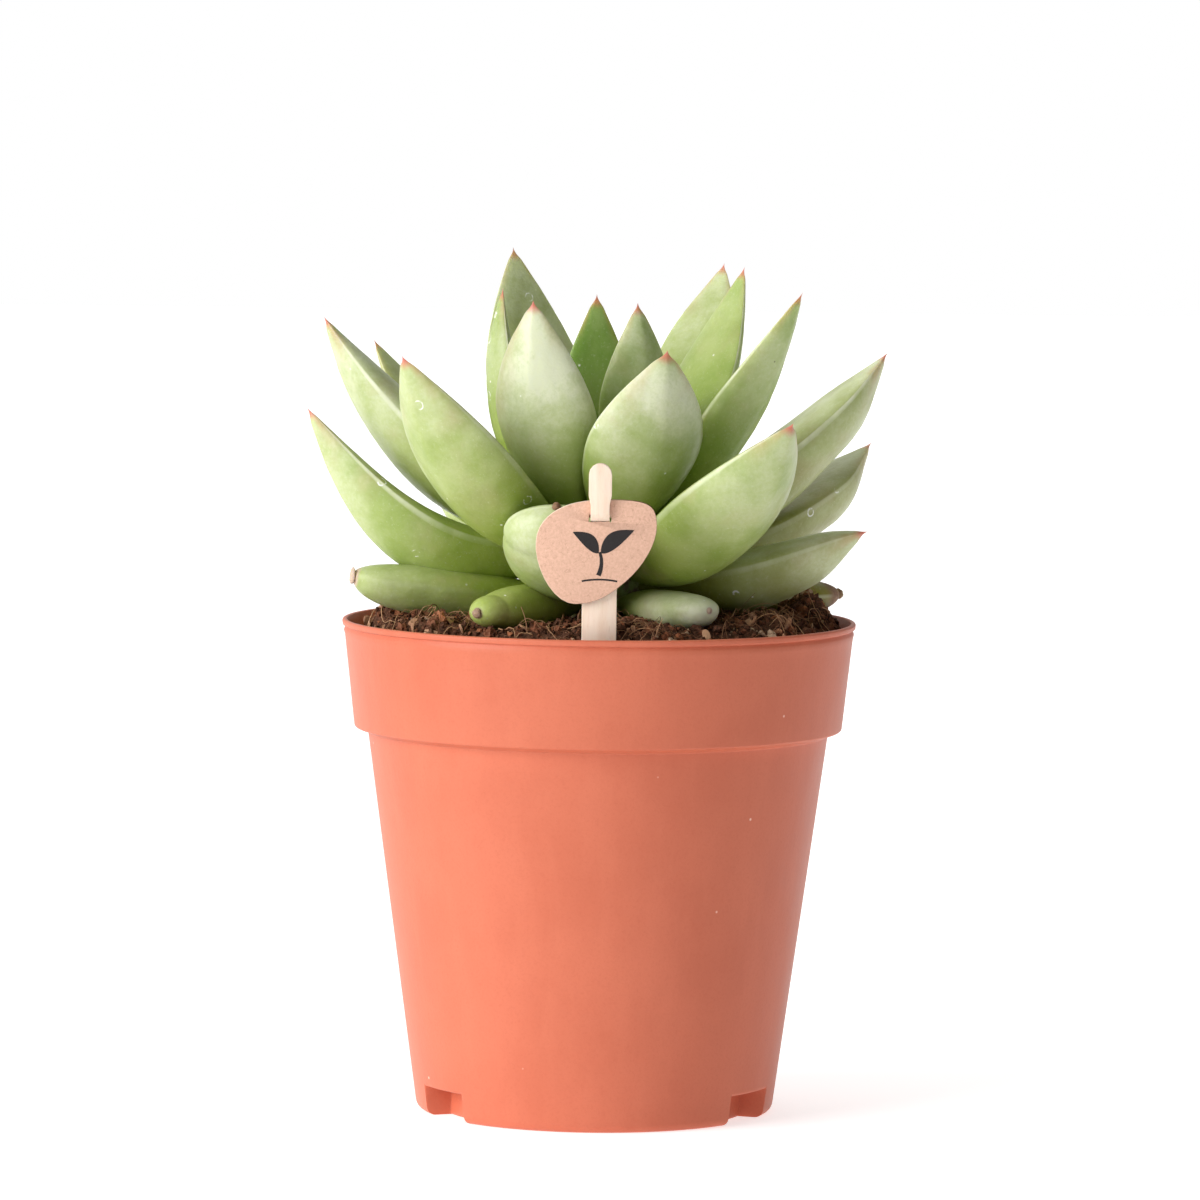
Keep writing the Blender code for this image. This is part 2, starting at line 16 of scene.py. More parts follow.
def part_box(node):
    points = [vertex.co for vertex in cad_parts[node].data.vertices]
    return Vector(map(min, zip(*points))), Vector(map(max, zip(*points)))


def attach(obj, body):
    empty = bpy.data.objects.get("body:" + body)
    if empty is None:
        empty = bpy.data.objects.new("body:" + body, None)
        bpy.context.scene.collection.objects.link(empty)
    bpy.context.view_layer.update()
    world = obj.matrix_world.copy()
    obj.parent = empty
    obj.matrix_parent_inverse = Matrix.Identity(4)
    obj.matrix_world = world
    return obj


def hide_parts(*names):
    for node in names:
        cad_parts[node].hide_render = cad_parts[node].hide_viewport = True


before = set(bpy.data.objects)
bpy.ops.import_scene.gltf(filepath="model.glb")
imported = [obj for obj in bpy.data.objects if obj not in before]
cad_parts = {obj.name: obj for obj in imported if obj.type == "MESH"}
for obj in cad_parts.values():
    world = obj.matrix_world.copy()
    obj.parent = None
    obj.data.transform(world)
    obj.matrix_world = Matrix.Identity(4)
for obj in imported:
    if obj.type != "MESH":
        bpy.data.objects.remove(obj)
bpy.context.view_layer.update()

MERGE = 0.00002  # points of a CAD mesh nearer than this are one
SEED = 11  # of the loose surface's random draws

# Leaves
LEAF_STATIONS = 80
FACE_STEPS = 24
BASE_TUCK = 0.0014  # how far a leaf's base runs on into the stem
BASE_SHRINK = 0.8
MUCRO_LENGTH = 0.0024
MUCRO_SLIMNESS = 0.36
FULL_PLACE = 0.17  # where a full leaf is widened, as a share of its length from the tip
FULL_SPREAD = 0.15
SKIN_WAVES = ((0.00016, 90), (0.00005, 420))  # height and scale of the skin's unevenness
WAVE_FADE = 0.004

# Sections of pointed and blunt leaves: how they crowd towards the tip, the powers of the upper and
# the under curve, how far the keel is sharpened, and how deep the face is grooved
POINTED = (1.25, 1.25, 1.05, 0.30, 0.12)
BLUNT = (2.4, 1.0, 1.0, 0.0, 0.0)

# Looks of each leaf: the pale wax bloom, its amount per leaf partly painted light on the lit leaves;
# the fresh inner green; a painted shade, the dull brownish green of leaves in shadow; and a painted
# highlight along the margins, where they catch the light
LOOK_NAMES = ("bloom", "green", "painted_shade", "edge")
USUAL_LOOK = (0.45, 0, 0, 0.45)
LEAF_LOOKS = {
    1: (0.35, 0.20, 0.15, 0.1),
    2: (0.15, 0, 0, 0),
    3: (1.1, 0, 0, 0),
    4: (0.65, 0, 0.40, 0.45),
    5: (0, 0, 1, 0.45),
    9: (0.55, 0.15, 0, 1),
    10: (0.60, 0.15, 0, 0.45),
    11: (0.50, 0.20, 0, 0.6),
    12: (0.45, 0, 0.60, 0.45),
    15: (0.48, 0.10, 0, 0.45),
    16: (0.80, 0, 0, 1),
    17: (0.35, 0, 0.35, 0.45),
    18: (0.65, 0, 0.20, 1),
    19: (0.45, 0.30, 0, 0.7),
    20: (0.55, 0, 0, 0.45),
    22: (0.85, 0.15, 0, 0.6),
    23: (1.15, 0.15, 0, 0.6),
    24: (0.25, 0.25, 0, 1),
    25: (0.75, 0, 0.10, 0.45),
    26: (0.50, 0.20, 0, 1),
    27: (0.15, 1, 0, 0.45),
    28: (0.60, 0.40, 0, 0.45),
}

# How a leaf's fine skin departs from its CAD shape. rise and drop scale its upper and under side,
# full widens it near the tip, sag lowers its middle, tip_up and base_up move its ends, and reach
# and power round off a blunt end over a length.
LEAF_SHAPES = {
    1: {"reach": 0.016, "power": 2.35, "rise": 1.3, "tip_up": 0.0012, "base_up": -0.0004},
    2: {"reach": 0.0045, "power": 2.1, "rise": 1.45, "drop": 1.15, "tip_up": 0.0009},
    3: {"reach": 0.0078, "power": 2.2, "rise": 1.1, "drop": 1.15},
    4: {"full": 0.25, "rise": 1.2, "sag": 0.0022},
    5: {"reach": 0.010, "power": 2.0, "rise": 1.5, "drop": 1.5},
    9: {"sag": 0.0030},
    10: {"reach": 0.007, "power": 2.2},
    12: {"full": 0.45, "drop": 1.15},
    16: {"drop": 1.1},
    18: {"full": 0.28, "drop": 1.15},
    20: {"full": 0.2},
}

# Blunt leaves end in a dried knob: its radius, flatness, colour from brown to pale, and how far it
# reaches back over the skin
LEAF_ENDS = {
    1: (0.0014, 0.30, 0.8, 0.0019),
    2: (0.00085, 0.7, 0.25, 0.0010),
    3: (0.00045, 0.6, 0.6, 0.0006),
    5: (0.0009, 0.9, 0.1, 0.0050),
    10: (0.00075, 1.0, 0.0, 0.0008),
}

# Pot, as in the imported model, with finer edges
WALL = 0.0008
COLLAR_HEIGHT = 0.0188
COLLAR_MARKS = (0.004, 0.003)  # how far from the collar's ends its side is measured
WALL_MARKS = (0.006, 0.012)  # how far from the wall's ends its side is measured
STEP_DROP = 0.0008
LIP_HEIGHT = 0.0010
LIP_GROOVE = 0.0003
FOOT_RING_WIDTH = 0.006
FOOT_TOP = 0.009  # height where the foot's part of the outline starts
BASE_LIFT = 0.0025
RECESS_ANGLES = (-57, 59, 180)  # degrees from the front, positive towards +X
RECESS_HALF = 10.8  # half of a recess's width, in degrees
RECESS_SIDE = 0.7  # arc over which a recess's side wall falls in, in degrees
RECESS_HEIGHT = 0.0052
RECESS_DEPTH = 0.0042
DRAIN_RADIUS = 0.003
DRAIN_CIRCLE = 0.013
OUT_OF_ROUND = 0.0016
POT_COLUMNS = 264
FOOT_POINTS = 60
WALL_STEP = 0.002  # longest steps between the outline's points, on the walls, the base and the lip
BASE_STEP = 0.0012
LIP_STEP = 0.0004

# Loose surface of the soil: heaps as angle, distance from the axis, height and spread
SOIL_RAISE = 0.0013
RAISE_START = (0.011, 0.006)  # radius where the raised ring starts, and how gently
RAISE_END = (0.0405, 0.005)
COARSE_LUMPS = (0.0007, 260)  # height and scale
FINE_LUMPS = (0.0005, 900)
SOIL_HEAPS = (
    (93, 0.0372, 0.0052, 0.0036),
    (-86, 0.0368, 0.0034, 0.0040),
    (-60, 0.0360, 0.0012, 0.0060),
    (62, 0.0340, 0.0014, 0.0070),
    (10, 0.0350, 0.0008, 0.0060),
)
BED_START = 0.0079
BED_DEPTH = 0.0035
BED_RINGS = 80
BED_COLUMNS = 300
CRUMBS = (8000, 0.00012, 0.0006, 1)  # how many, smallest, largest, divisions of the ball
CLODS = (2200, 0.0003, 0.0013, 2)
CHIP_COUNT = 160
FIBRE_COUNT = 420
FIBRE_STEPS = 12

# Fibres that stand out of the soil
FIBRES = (
    ((0.0215, -0.0200, 0.0868), (0.0238, -0.0206, 0.0893), (0.0268, -0.0210, 0.0926)),
    (
        (0.0235, -0.0150, 0.0868),
        (0.0262, -0.0158, 0.0897),
        (0.0300, -0.0150, 0.0902),
        (0.0338, -0.0130, 0.0880),
    ),
    ((0.0255, -0.0200, 0.0862), (0.0290, -0.0215, 0.0890), (0.0318, -0.0200, 0.0872)),
    ((-0.0122, -0.0345, 0.0862), (-0.0125, -0.0350, 0.0886), (-0.0133, -0.0348, 0.0908)),
    ((0.0050, -0.0370, 0.0862), (0.0078, -0.0378, 0.0876), (0.0112, -0.0368, 0.0862)),
    ((0.0095, -0.0372, 0.0858), (0.0102, -0.0380, 0.0880), (0.0108, -0.0376, 0.0893)),
    ((-0.0385, -0.0090, 0.0845), (-0.0390, -0.0092, 0.0862), (-0.0396, -0.0088, 0.0880)),
    ((0.0300, -0.0240, 0.0850), (0.0312, -0.0246, 0.0874), (0.0306, -0.0250, 0.0890)),
    ((0.0290, -0.0240, 0.0850), (0.0302, -0.0250, 0.0868), (0.0320, -0.0248, 0.0884)),
)

# Label
STICK_EDGE = 0.00012
CARD_EDGE = 0.00022
INK_DEPTH = 0.00003
PRINT_PLACE = (0.0006, 0.0004)

# Studio and camera
FLOOR_SIZE = 8
FLOOR_GLOW = 0.64
KEY_STRENGTH = 3.15
KEY_ANGLE = 42
KEY_DIRECTION = (0.88, 0.53, -0.36)
LENS = 210
LENS_SHIFT = 0.0006
CAMERA_PLACE = (0, -1.221, 0.1826)
CAMERA_DIP = 4.363
CAMERA_ROLL = 0.6


# ---- meshes


def mesh_object(name, points, faces, material, smooth=True):
    """Make an object at the origin from points and faces, with its faces pointing out."""
    mesh = bpy.data.meshes.new(name)
    mesh.from_pydata([tuple(p) for p in points], [], faces)
    mesh.materials.append(material)
    shape = bmesh.new()
    shape.from_mesh(mesh)
    bmesh.ops.recalc_face_normals(shape, faces=shape.faces)
    if shape.calc_volume(signed=True) < 0:
        bmesh.ops.reverse_faces(shape, faces=shape.faces)
    shape.to_mesh(mesh)
    shape.free()
    if smooth:
        mesh.shade_smooth()
    piece = bpy.data.objects.new(name, mesh)
    bpy.context.scene.collection.objects.link(piece)
    return piece


def set_values(piece, name, values):
    """Store one number for each point of a piece, for its material to read."""
    attribute = piece.data.attributes.new(name, "FLOAT", "POINT")
    attribute.data.foreach_set("value", np.asarray(values, np.float32))


def ring_faces(rings, count, start=0, closed=False):
    """Quads between rings of points that follow one another, and back to the first if closed."""
    faces = []
    for ring in range(rings if closed else rings - 1):
        low = start + ring * count
        high = start + (ring + 1) % rings * count
        for i in range(count):
            j = (i + 1) % count
            faces.append((low + i, low + j, high + j, high + i))
    return faces


def smoothstep(value):
    """Ease from 0 to 1."""
    value = np.clip(value, 0, 1)
    return value * value * (3 - 2 * value)


def smooth_through(points, at):
    """Follow a smooth curve through evenly numbered points, at fractions of their numbers."""
    points = np.asarray(points, float)
    slopes = np.gradient(points, axis=0, edge_order=2)
    low = np.clip(np.floor(at).astype(int), 0, len(points) - 2)
    t = (at - low)[:, None]
    here, there = points[low], points[low + 1]
    rise, fall = slopes[low], slopes[low + 1]
    return (
        here * (1 + 2 * t) * (1 - t) ** 2
        + rise * t * (1 - t) ** 2
        + there * t * t * (3 - 2 * t)
        - fall * t * t * (1 - t)
    )


# ---- material nodes


class Nodes:
    """A node tree, with short calls for the nodes that the looks use."""

    def __init__(self, tree):
        self.tree = tree

    def node(self, kind, inputs=None, **settings):
        """Add a node. An input is a number, a colour or another node's output."""
        made = self.tree.nodes.new("ShaderNode" + kind)
        for key, value in settings.items():
            setattr(made, key, value)
        for key, value in (inputs or {}).items():
            if isinstance(value, bpy.types.NodeSocket):
                self.tree.links.new(value, made.inputs[key])
            else:
                made.inputs[key].default_value = value
        return made

    def math(self, operation, first, second=0.0):
        """One sum on numbers."""
        return self.node("Math", {0: first, 1: second}, operation=operation).outputs[0]

    def times(self, *numbers):
        """The product of numbers."""
        total = numbers[0]
        for number in numbers[1:]:
            total = self.math("MULTIPLY", total, number)
        return total

    def ramp(self, value, low, high, bottom=0.0, top=1.0, kind="SMOOTHSTEP"):
        """Ease a number from bottom to top as it goes from low to high."""
        inputs = {"Value": value, "From Min": low, "From Max": high, "To Min": bottom, "To Max": top}
        return self.node("MapRange", inputs, interpolation_type=kind).outputs["Result"]


class Paint(Nodes):
    """A material, with short calls for the textures that the finishes use."""

    def __init__(self, name, **finish):
        self.material = bpy.data.materials.new(name)
        self.material.use_nodes = True
        super().__init__(self.material.node_tree)
        self.shader = self.tree.nodes["Principled BSDF"]
        for socket, value in finish.items():
            self.shader.inputs[socket.replace("_", " ")].default_value = value
        self.place = self.node("TexCoord").outputs["Object"]

    def value(self, name):
        """Read a number stored on the piece's points."""
        return self.node("Attribute", attribute_name=name).outputs["Fac"]

    def noise(self, size, detail=3, roughness=0.55, vector=None, distortion=0.0):
        """Soft noise from 0 to 1, with features of a size in metres."""
        inputs = {"Vector": vector or self.place, "Scale": 1 / size, "Detail": detail}
        inputs.update({"Roughness": roughness, "Distortion": distortion})
        return self.node("TexNoise", inputs).outputs["Fac"]

    def dots(self, size, channel, rare, common):
        """Distance from the middles of scattered cells, and which cells are picked."""
        cells = self.node("TexVoronoi", {"Vector": self.place, "Scale": 1 / size})
        chance = self.node("SeparateColor", {"Color": cells.outputs["Color"]}).outputs[channel]
        return cells.outputs["Distance"], self.ramp(chance, rare, common)

    def mix(self, factor, first, second):
        """Blend two colours."""
        return self.node("Mix", {0: factor, 6: first, 7: second}, data_type="RGBA").outputs[2]

    def coats(self, colour, *coats):
        """Lay coats over a colour, each with how far it covers."""
        for factor, coat in coats:
            if not isinstance(coat, bpy.types.NodeSocket):
                coat = (*coat, 1)
            colour = self.mix(factor, colour, coat)
        return colour

    def stretched(self, x, y, z, turn=(0, 0, 0)):
        """Object coordinates stretched by a factor along each axis."""
        inputs = {"Vector": self.place, "Scale": (x, y, z), "Rotation": turn}
        return self.node("Mapping", inputs).outputs["Vector"]

    def bump(self, height, depth, below=None):
        """A bump of a depth in metres, over another one."""
        inputs = {"Height": height, "Distance": depth, "Strength": 1.0}
        if below:
            inputs["Normal"] = below
        return self.node("Bump", inputs).outputs["Normal"]

    def finish(self, colour, roughness=None, normal=None):
        """Join the finished colour, roughness and normal to the shader."""
        for socket, output in {"Base Color": colour, "Roughness": roughness, "Normal": normal}.items():
            if output is not None:
                self.tree.links.new(output, self.shader.inputs[socket])
        return self.material


def leaf_material():
    """Waxy echeveria skin: bloom over green, partly painted light, a dull painted shade, painted
    highlights along the margins, red points and dried water rings.
    """
    glow = {"Subsurface_Weight": 0.2, "Subsurface_Scale": 0.004, "Subsurface_Radius": (0.9, 1.0, 0.3)}
    p = Paint("leaf_skin", IOR=1.42, Specular_IOR_Level=0.38, **glow)
    along = p.value("along")
    side = p.math("ABSOLUTE", p.value("side"))
    tip = p.value("tip_distance")
    green = p.value("green")
    # painted shade: how far each leaf is darkened to a dull brownish green, as for lying in shadow
    painted_shade = p.value("painted_shade")
    red = p.value("red")
    clouds = p.noise(0.011, 4, 0.6)
    grain = p.noise(0.0007, 3, 0.7)

    deep = p.mix(green, (0.27, 0.36, 0.032, 1), (0.13, 0.27, 0.014, 1))
    colour = p.coats(
        deep,
        # painted shade: this coat and the next but one darken the leaves in shadow
        (painted_shade, (0.22, 0.20, 0.022)),
        (p.ramp(clouds, 0.3, 0.7), (0.36, 0.45, 0.07)),
        (p.times(painted_shade, 0.8), (0.25, 0.225, 0.028)),
        (p.times(green, 0.75), (0.15, 0.29, 0.022)),
    )
    # wax bloom, partly painted light: its amount per leaf also lightens the leaves the light falls on
    wax_and_painted_light = p.times(p.ramp(along, 0.14, 0.92, 0.05, 1.12), p.ramp(clouds, 0.3, 0.7, 0.45, 1.12))
    wax_and_painted_light = p.times(wax_and_painted_light, p.value("bloom"), p.ramp(grain, 0.3, 0.7, 0.85, 1.1))
    tan = p.times(p.ramp(side, 0.2, 1.0, 0.25, 1.0), p.ramp(p.noise(0.013, 4, 0.6), 0.48, 0.72), 0.45)
    # painted highlight: a pale line along the margins, where they catch the light
    margin = p.times(p.ramp(side, 0.985, 1.0), p.value("edge"), p.ramp(along, 0.2, 0.75, 0.2, 1.0))
    margin = p.times(margin, p.ramp(p.noise(0.004, 2), 0.3, 0.7, 0.6, 1.0))
    blush = p.times(p.ramp(side, 0.55, 1.0), p.ramp(tip, 0.012, 0.001))
    blush = p.times(blush, p.ramp(p.noise(0.006, 3), 0.35, 0.65, 0.2, 0.65), red)

    middle, picked = p.dots(0.0062, "Red", 0.72, 0.80)
    ring = p.ramp(p.math("ABSOLUTE", p.math("SUBTRACT", middle, 0.13)), 0.028, 0.008)
    ring = p.times(ring, picked, p.ramp(p.noise(0.0011, 2), 0.42, 0.58))
    middle, picked = p.dots(0.0034, "Green", 0.74, 0.82)
    speck = p.times(p.ramp(middle, 0.085, 0.03), picked)
    chalk = p.times(p.math("MAXIMUM", ring, speck), 0.85)
    middle, picked = p.dots(0.0095, "Blue", 0.86, 0.88)
    dot = p.times(p.ramp(middle, 0.026, 0.012), picked, 0.7)

    dry = p.value("dry")
    bark = p.mix(p.noise(0.0006, 3), (0.10, 0.035, 0.018, 1), (0.34, 0.20, 0.12, 1))
    colour = p.coats(
        colour,
        # the wax bloom, partly painted light
        (wax_and_painted_light, (0.665, 0.70, 0.495)),
        (tan, (0.46, 0.36, 0.20)),
        (p.ramp(p.noise(0.00055, 3, 0.8), 0.55, 0.8, 0, 0.35), (0.72, 0.76, 0.54)),
        # painted highlight along the margins
        (margin, (0.80, 0.83, 0.62)),
        (blush, (0.52, 0.30, 0.14)),
        (p.times(p.ramp(tip, 0.0030, 0.0006), red), (0.58, 0.14, 0.12)),
        (chalk, (0.94, 0.96, 0.90)),
        (dot, (0.09, 0.06, 0.02)),
        (dry, p.coats(bark, (p.value("pale"), (0.66, 0.50, 0.38)))),
    )
    rough = p.math("ADD", p.ramp(grain, 0.3, 0.7, 0.30, 0.42), p.times(dry, 0.35))
    rough = p.math("ADD", rough, p.times(chalk, 0.25))
    skin = p.bump(p.noise(0.00035, 2, 0.6), 0.00002)
    skin = p.bump(p.noise(0.0035, 3), 0.00022, skin)
    return p.finish(colour, rough, p.bump(chalk, 0.00003, skin))


def pot_material():
    """Moulded terracotta polypropylene with faint flow, dust specks and scuffs."""
    glow = {"Subsurface_Weight": 0.05, "Subsurface_Scale": 0.002, "Subsurface_Radius": (1.0, 0.5, 0.3)}
    p = Paint("pot_plastic", IOR=1.49, Specular_IOR_Level=0.24, **glow)
    clouds = p.noise(0.018, 4, 0.6)
    flow = p.noise(0.006, 3, 0.6, p.stretched(1, 1, 0.15))
    grain = p.noise(0.0005, 3, 0.7)
    middle, picked = p.dots(0.0055, "Red", 0.70, 0.76)
    scuffs = p.noise(0.0022, 2, 0.5, p.stretched(1, 1, 0.25, (0.3, 0.2, 0)))
    scuff = p.times(p.ramp(scuffs, 0.74, 0.8), p.ramp(p.noise(0.012), 0.55, 0.7))
    colour = p.coats(
        p.mix(p.ramp(clouds, 0.3, 0.7), (0.58, 0.149, 0.081, 1), (0.62, 0.167, 0.093, 1)),
        (p.ramp(flow, 0.4, 0.75, 0, 0.35), (0.67, 0.19, 0.108)),
        (p.ramp(grain, 0.45, 0.75, 0, 0.25), (0.50, 0.112, 0.058)),
        (p.times(p.ramp(middle, 0.06, 0.02), picked, 0.75), (0.95, 0.66, 0.54)),
        (p.times(scuff, 0.45), (0.9, 0.5, 0.38)),
    )
    rough = p.math("ADD", p.ramp(clouds, 0.2, 0.8, 0.38, 0.48), p.times(scuff, 0.2))
    skin = p.bump(p.noise(0.007, 3, 0.5), 0.00012, p.bump(grain, 0.000025))
    return p.finish(colour, rough, skin)


def soil_material():
    """Dark peat with crumbs of every brown."""
    p = Paint("peat", IOR=1.35, Specular_IOR_Level=0.2)
    tone = p.value("tone")
    grain = p.noise(0.0009, 4, 0.7)
    colour = p.coats(
        p.mix(p.ramp(grain, 0.3, 0.7), (0.040, 0.017, 0.010, 1), (0.18, 0.078, 0.045, 1)),
        (p.ramp(tone, 0.45, 0.8, 0, 0.8), (0.28, 0.105, 0.055)),
        (p.ramp(tone, 0.86, 0.92), (0.40, 0.15, 0.07)),
        (p.ramp(tone, 0.965, 0.98), (0.50, 0.34, 0.23)),
        (p.ramp(p.noise(0.0003, 2), 0.62, 0.7, 0, 0.5), (0.42, 0.27, 0.18)),
    )
    return p.finish(colour, p.ramp(grain, 0.3, 0.7, 0.75, 0.95), p.bump(p.noise(0.0004, 4, 0.75), 0.00025))


def fibre_material():
    """Pale coir and root fibres."""
    p = Paint("fibre", IOR=1.4)
    grain = p.noise(0.0006, 3, 0.7)
    colour = p.mix(p.value("tone"), (0.16, 0.055, 0.022, 1), (0.62, 0.36, 0.19, 1))
    colour = p.coats(colour, (p.ramp(grain, 0.4, 0.7, 0, 0.4), (0.36, 0.19, 0.10)))
    return p.finish(colour, p.ramp(grain, 0.3, 0.7, 0.5, 0.8), p.bump(grain, 0.00003))


def chip_material():
    """Reddish bark chips."""
    p = Paint("bark", IOR=1.4)
    streaks = p.noise(0.0009, 4, 0.7, p.stretched(1, 0.3, 1))
    colour = p.mix(p.ramp(streaks, 0.3, 0.7), (0.16, 0.062, 0.030, 1), (0.52, 0.25, 0.13, 1))
    colour = p.coats(colour, (p.value("tone"), (0.62, 0.36, 0.22)))
    return p.finish(colour, p.ramp(streaks, 0.3, 0.7, 0.6, 0.85), p.bump(streaks, 0.0002))


def stem_material():
    """Green stem with corky patches."""
    p = Paint("stem_skin", IOR=1.4, Subsurface_Weight=0.1, Subsurface_Scale=0.002)
    patches = p.noise(0.002, 4, 0.65)
    colour = p.mix(p.ramp(patches, 0.4, 0.6), (0.26, 0.33, 0.09, 1), (0.21, 0.15, 0.075, 1))
    return p.finish(colour, p.ramp(patches, 0.3, 0.7, 0.5, 0.75), p.bump(patches, 0.0002))


def wood_material():
    """Thin pale birch with a faint upright grain."""
    p = Paint("birch", IOR=1.4, Subsurface_Weight=0.08, Subsurface_Scale=0.001)
    grain = p.noise(0.0011, 4, 0.65, p.stretched(1, 1, 0.06))
    pores = p.noise(0.0004, 3, 0.7, p.stretched(1, 1, 0.12))
    colour = p.mix(p.ramp(grain, 0.3, 0.7), (0.86, 0.66, 0.51, 1), (0.92, 0.75, 0.61, 1))
    colour = p.coats(colour, (p.ramp(pores, 0.58, 0.72, 0, 0.35), (0.62, 0.42, 0.28)))
    return p.finish(colour, p.ramp(grain, 0.3, 0.7, 0.6, 0.75), p.bump(pores, 0.00003))


def card_material(face, right):
    """Kraft board: flecked pink-brown faces, and cut edges painted pale where they face left, as a
    painted highlight, and dark brown where they face right, as a painted shade.
    """
    p = Paint("kraft", IOR=1.4)
    flecks = p.noise(0.00045, 4, 0.75)
    fibres = p.noise(0.0011, 3, 0.7, distortion=1.5)
    normal = p.node("NewGeometry").outputs["Normal"]
    facing, sideways = (
        p.node("VectorMath", {0: normal, 1: way}, operation="DOT_PRODUCT").outputs["Value"]
        for way in (face, right)
    )
    # painted shade for the cut edges that face right, away from the light
    shaded_edge_colour = p.mix(p.noise(0.0006, 3), (0.13, 0.055, 0.03, 1), (0.27, 0.12, 0.07, 1))
    colour = p.coats(
        p.mix(p.ramp(flecks, 0.3, 0.7), (0.64, 0.385, 0.275, 1), (0.76, 0.48, 0.355, 1)),
        (p.ramp(fibres, 0.56, 0.66, 0, 0.5), (0.50, 0.28, 0.19)),
        (p.ramp(flecks, 0.66, 0.74, 0, 0.7), (0.86, 0.66, 0.53)),
    )
    # painted light: cut edges facing left are pale as if lit, those facing right dark as if shaded
    cut = p.mix(p.ramp(sideways, -0.25, 0.15), (0.85, 0.66, 0.52, 1), shaded_edge_colour)
    colour = p.coats(colour, (p.ramp(p.math("ABSOLUTE", facing), 0.985, 0.8), cut))
    return p.finish(colour, p.ramp(flecks, 0.3, 0.7, 0.78, 0.92), p.bump(flecks, 0.00004))


def ink_material():
    """Flat black printing ink on board."""
    p = Paint("ink", IOR=1.45)
    wear = p.noise(0.0005, 4, 0.7)
    colour = p.mix(p.ramp(wear, 0.5, 0.8, 0, 0.5), (0.011, 0.008, 0.008, 1), (0.05, 0.035, 0.03, 1))
    return p.finish(colour, p.ramp(wear, 0.3, 0.7, 0.55, 0.75), p.bump(wear, 0.00002))


# ---- leaves


def leaf_guides(node):
    """Read a leaf's two margins, crest and keel from its CAD mesh, each from base to tip."""
    shape = bmesh.new()
    shape.from_mesh(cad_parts[node].data)
    bmesh.ops.remove_doubles(shape, verts=shape.verts, dist=MERGE)
    tip = max(shape.verts, key=lambda v: math.hypot(v.co.x, v.co.y) + v.co.z)
    seen = {tip}
    front = {tip}
    rings = []
    while front:
        front = {edge.other_vert(v) for v in front for edge in v.link_edges} - seen
        seen |= front
        if front:
            rings.append([v.co.copy() for v in front])
    rings.reverse()
    point = tip.co.copy()
    shape.free()
    centres = [sum(ring, Vector()) / len(ring) for ring in rings] + [point]
    outward = Vector((centres[0].x, centres[0].y, 0)).normalized()
    sideways = Vector((0, 0, 1)).cross(outward)
    guides = []
    for number, ring in enumerate(rings):
        tangent = (centres[number + 1] - centres[max(number - 1, 0)]).normalized()
        across = (sideways - tangent * sideways.dot(tangent)).normalized()
        above = tangent.cross(across)
        middle = centres[number]

        def turn(p):
            return math.atan2((p - middle).dot(above), (p - middle).dot(across))

        start = turn(max(ring, key=lambda p: (p - middle).dot(across)))
        ordered = sorted(ring, key=lambda p: round((turn(p) - start) % (2 * math.pi), 6))
        quarter = len(ordered) // 4
        guides.append([ordered[quarter * i] for i in range(4)])
    guides.append([point] * 4)
    return np.array([[tuple(p) for p in row] for row in guides])


def shaped(centre, parts, shape, blunt):
    """Bend a leaf's middle line and scale its half width, rise and drop as its shape says."""
    steps = np.linalg.norm(np.diff(centre, axis=0), axis=1)
    from_base = np.concatenate([[0], np.cumsum(steps)])
    from_tip = from_base[-1] - from_base
    share = from_base / from_base[-1]
    centre = centre.copy()
    centre[:, 2] += shape.get("tip_up", 0) * share**2 + shape.get("base_up", 0) * (1 - share) ** 1.5
    centre[:, 2] -= shape.get("sag", 0) * np.sin(math.pi * share) ** 1.5
    if blunt:
        reach, power = shape["reach"], shape["power"]
        start = int(np.argmin(np.abs(from_tip - reach)))
        dome = (1 - (1 - np.clip(from_tip / reach, 0, 1)) ** power) ** (1 / power)
        for part in parts:
            part[start:] = part[start] * dome[start:, None] / dome[start]
    else:
        slim = MUCRO_SLIMNESS + (1 - MUCRO_SLIMNESS) * smoothstep(from_tip / MUCRO_LENGTH)
        slim *= 1 + shape.get("full", 0) * np.exp(-(((1 - share - FULL_PLACE) / FULL_SPREAD) ** 2))
        for part in parts:
            part *= slim[:, None]
    half, rise, drop = parts
    return centre, half, rise * shape.get("rise", 1), drop * shape.get("drop", 1), from_base


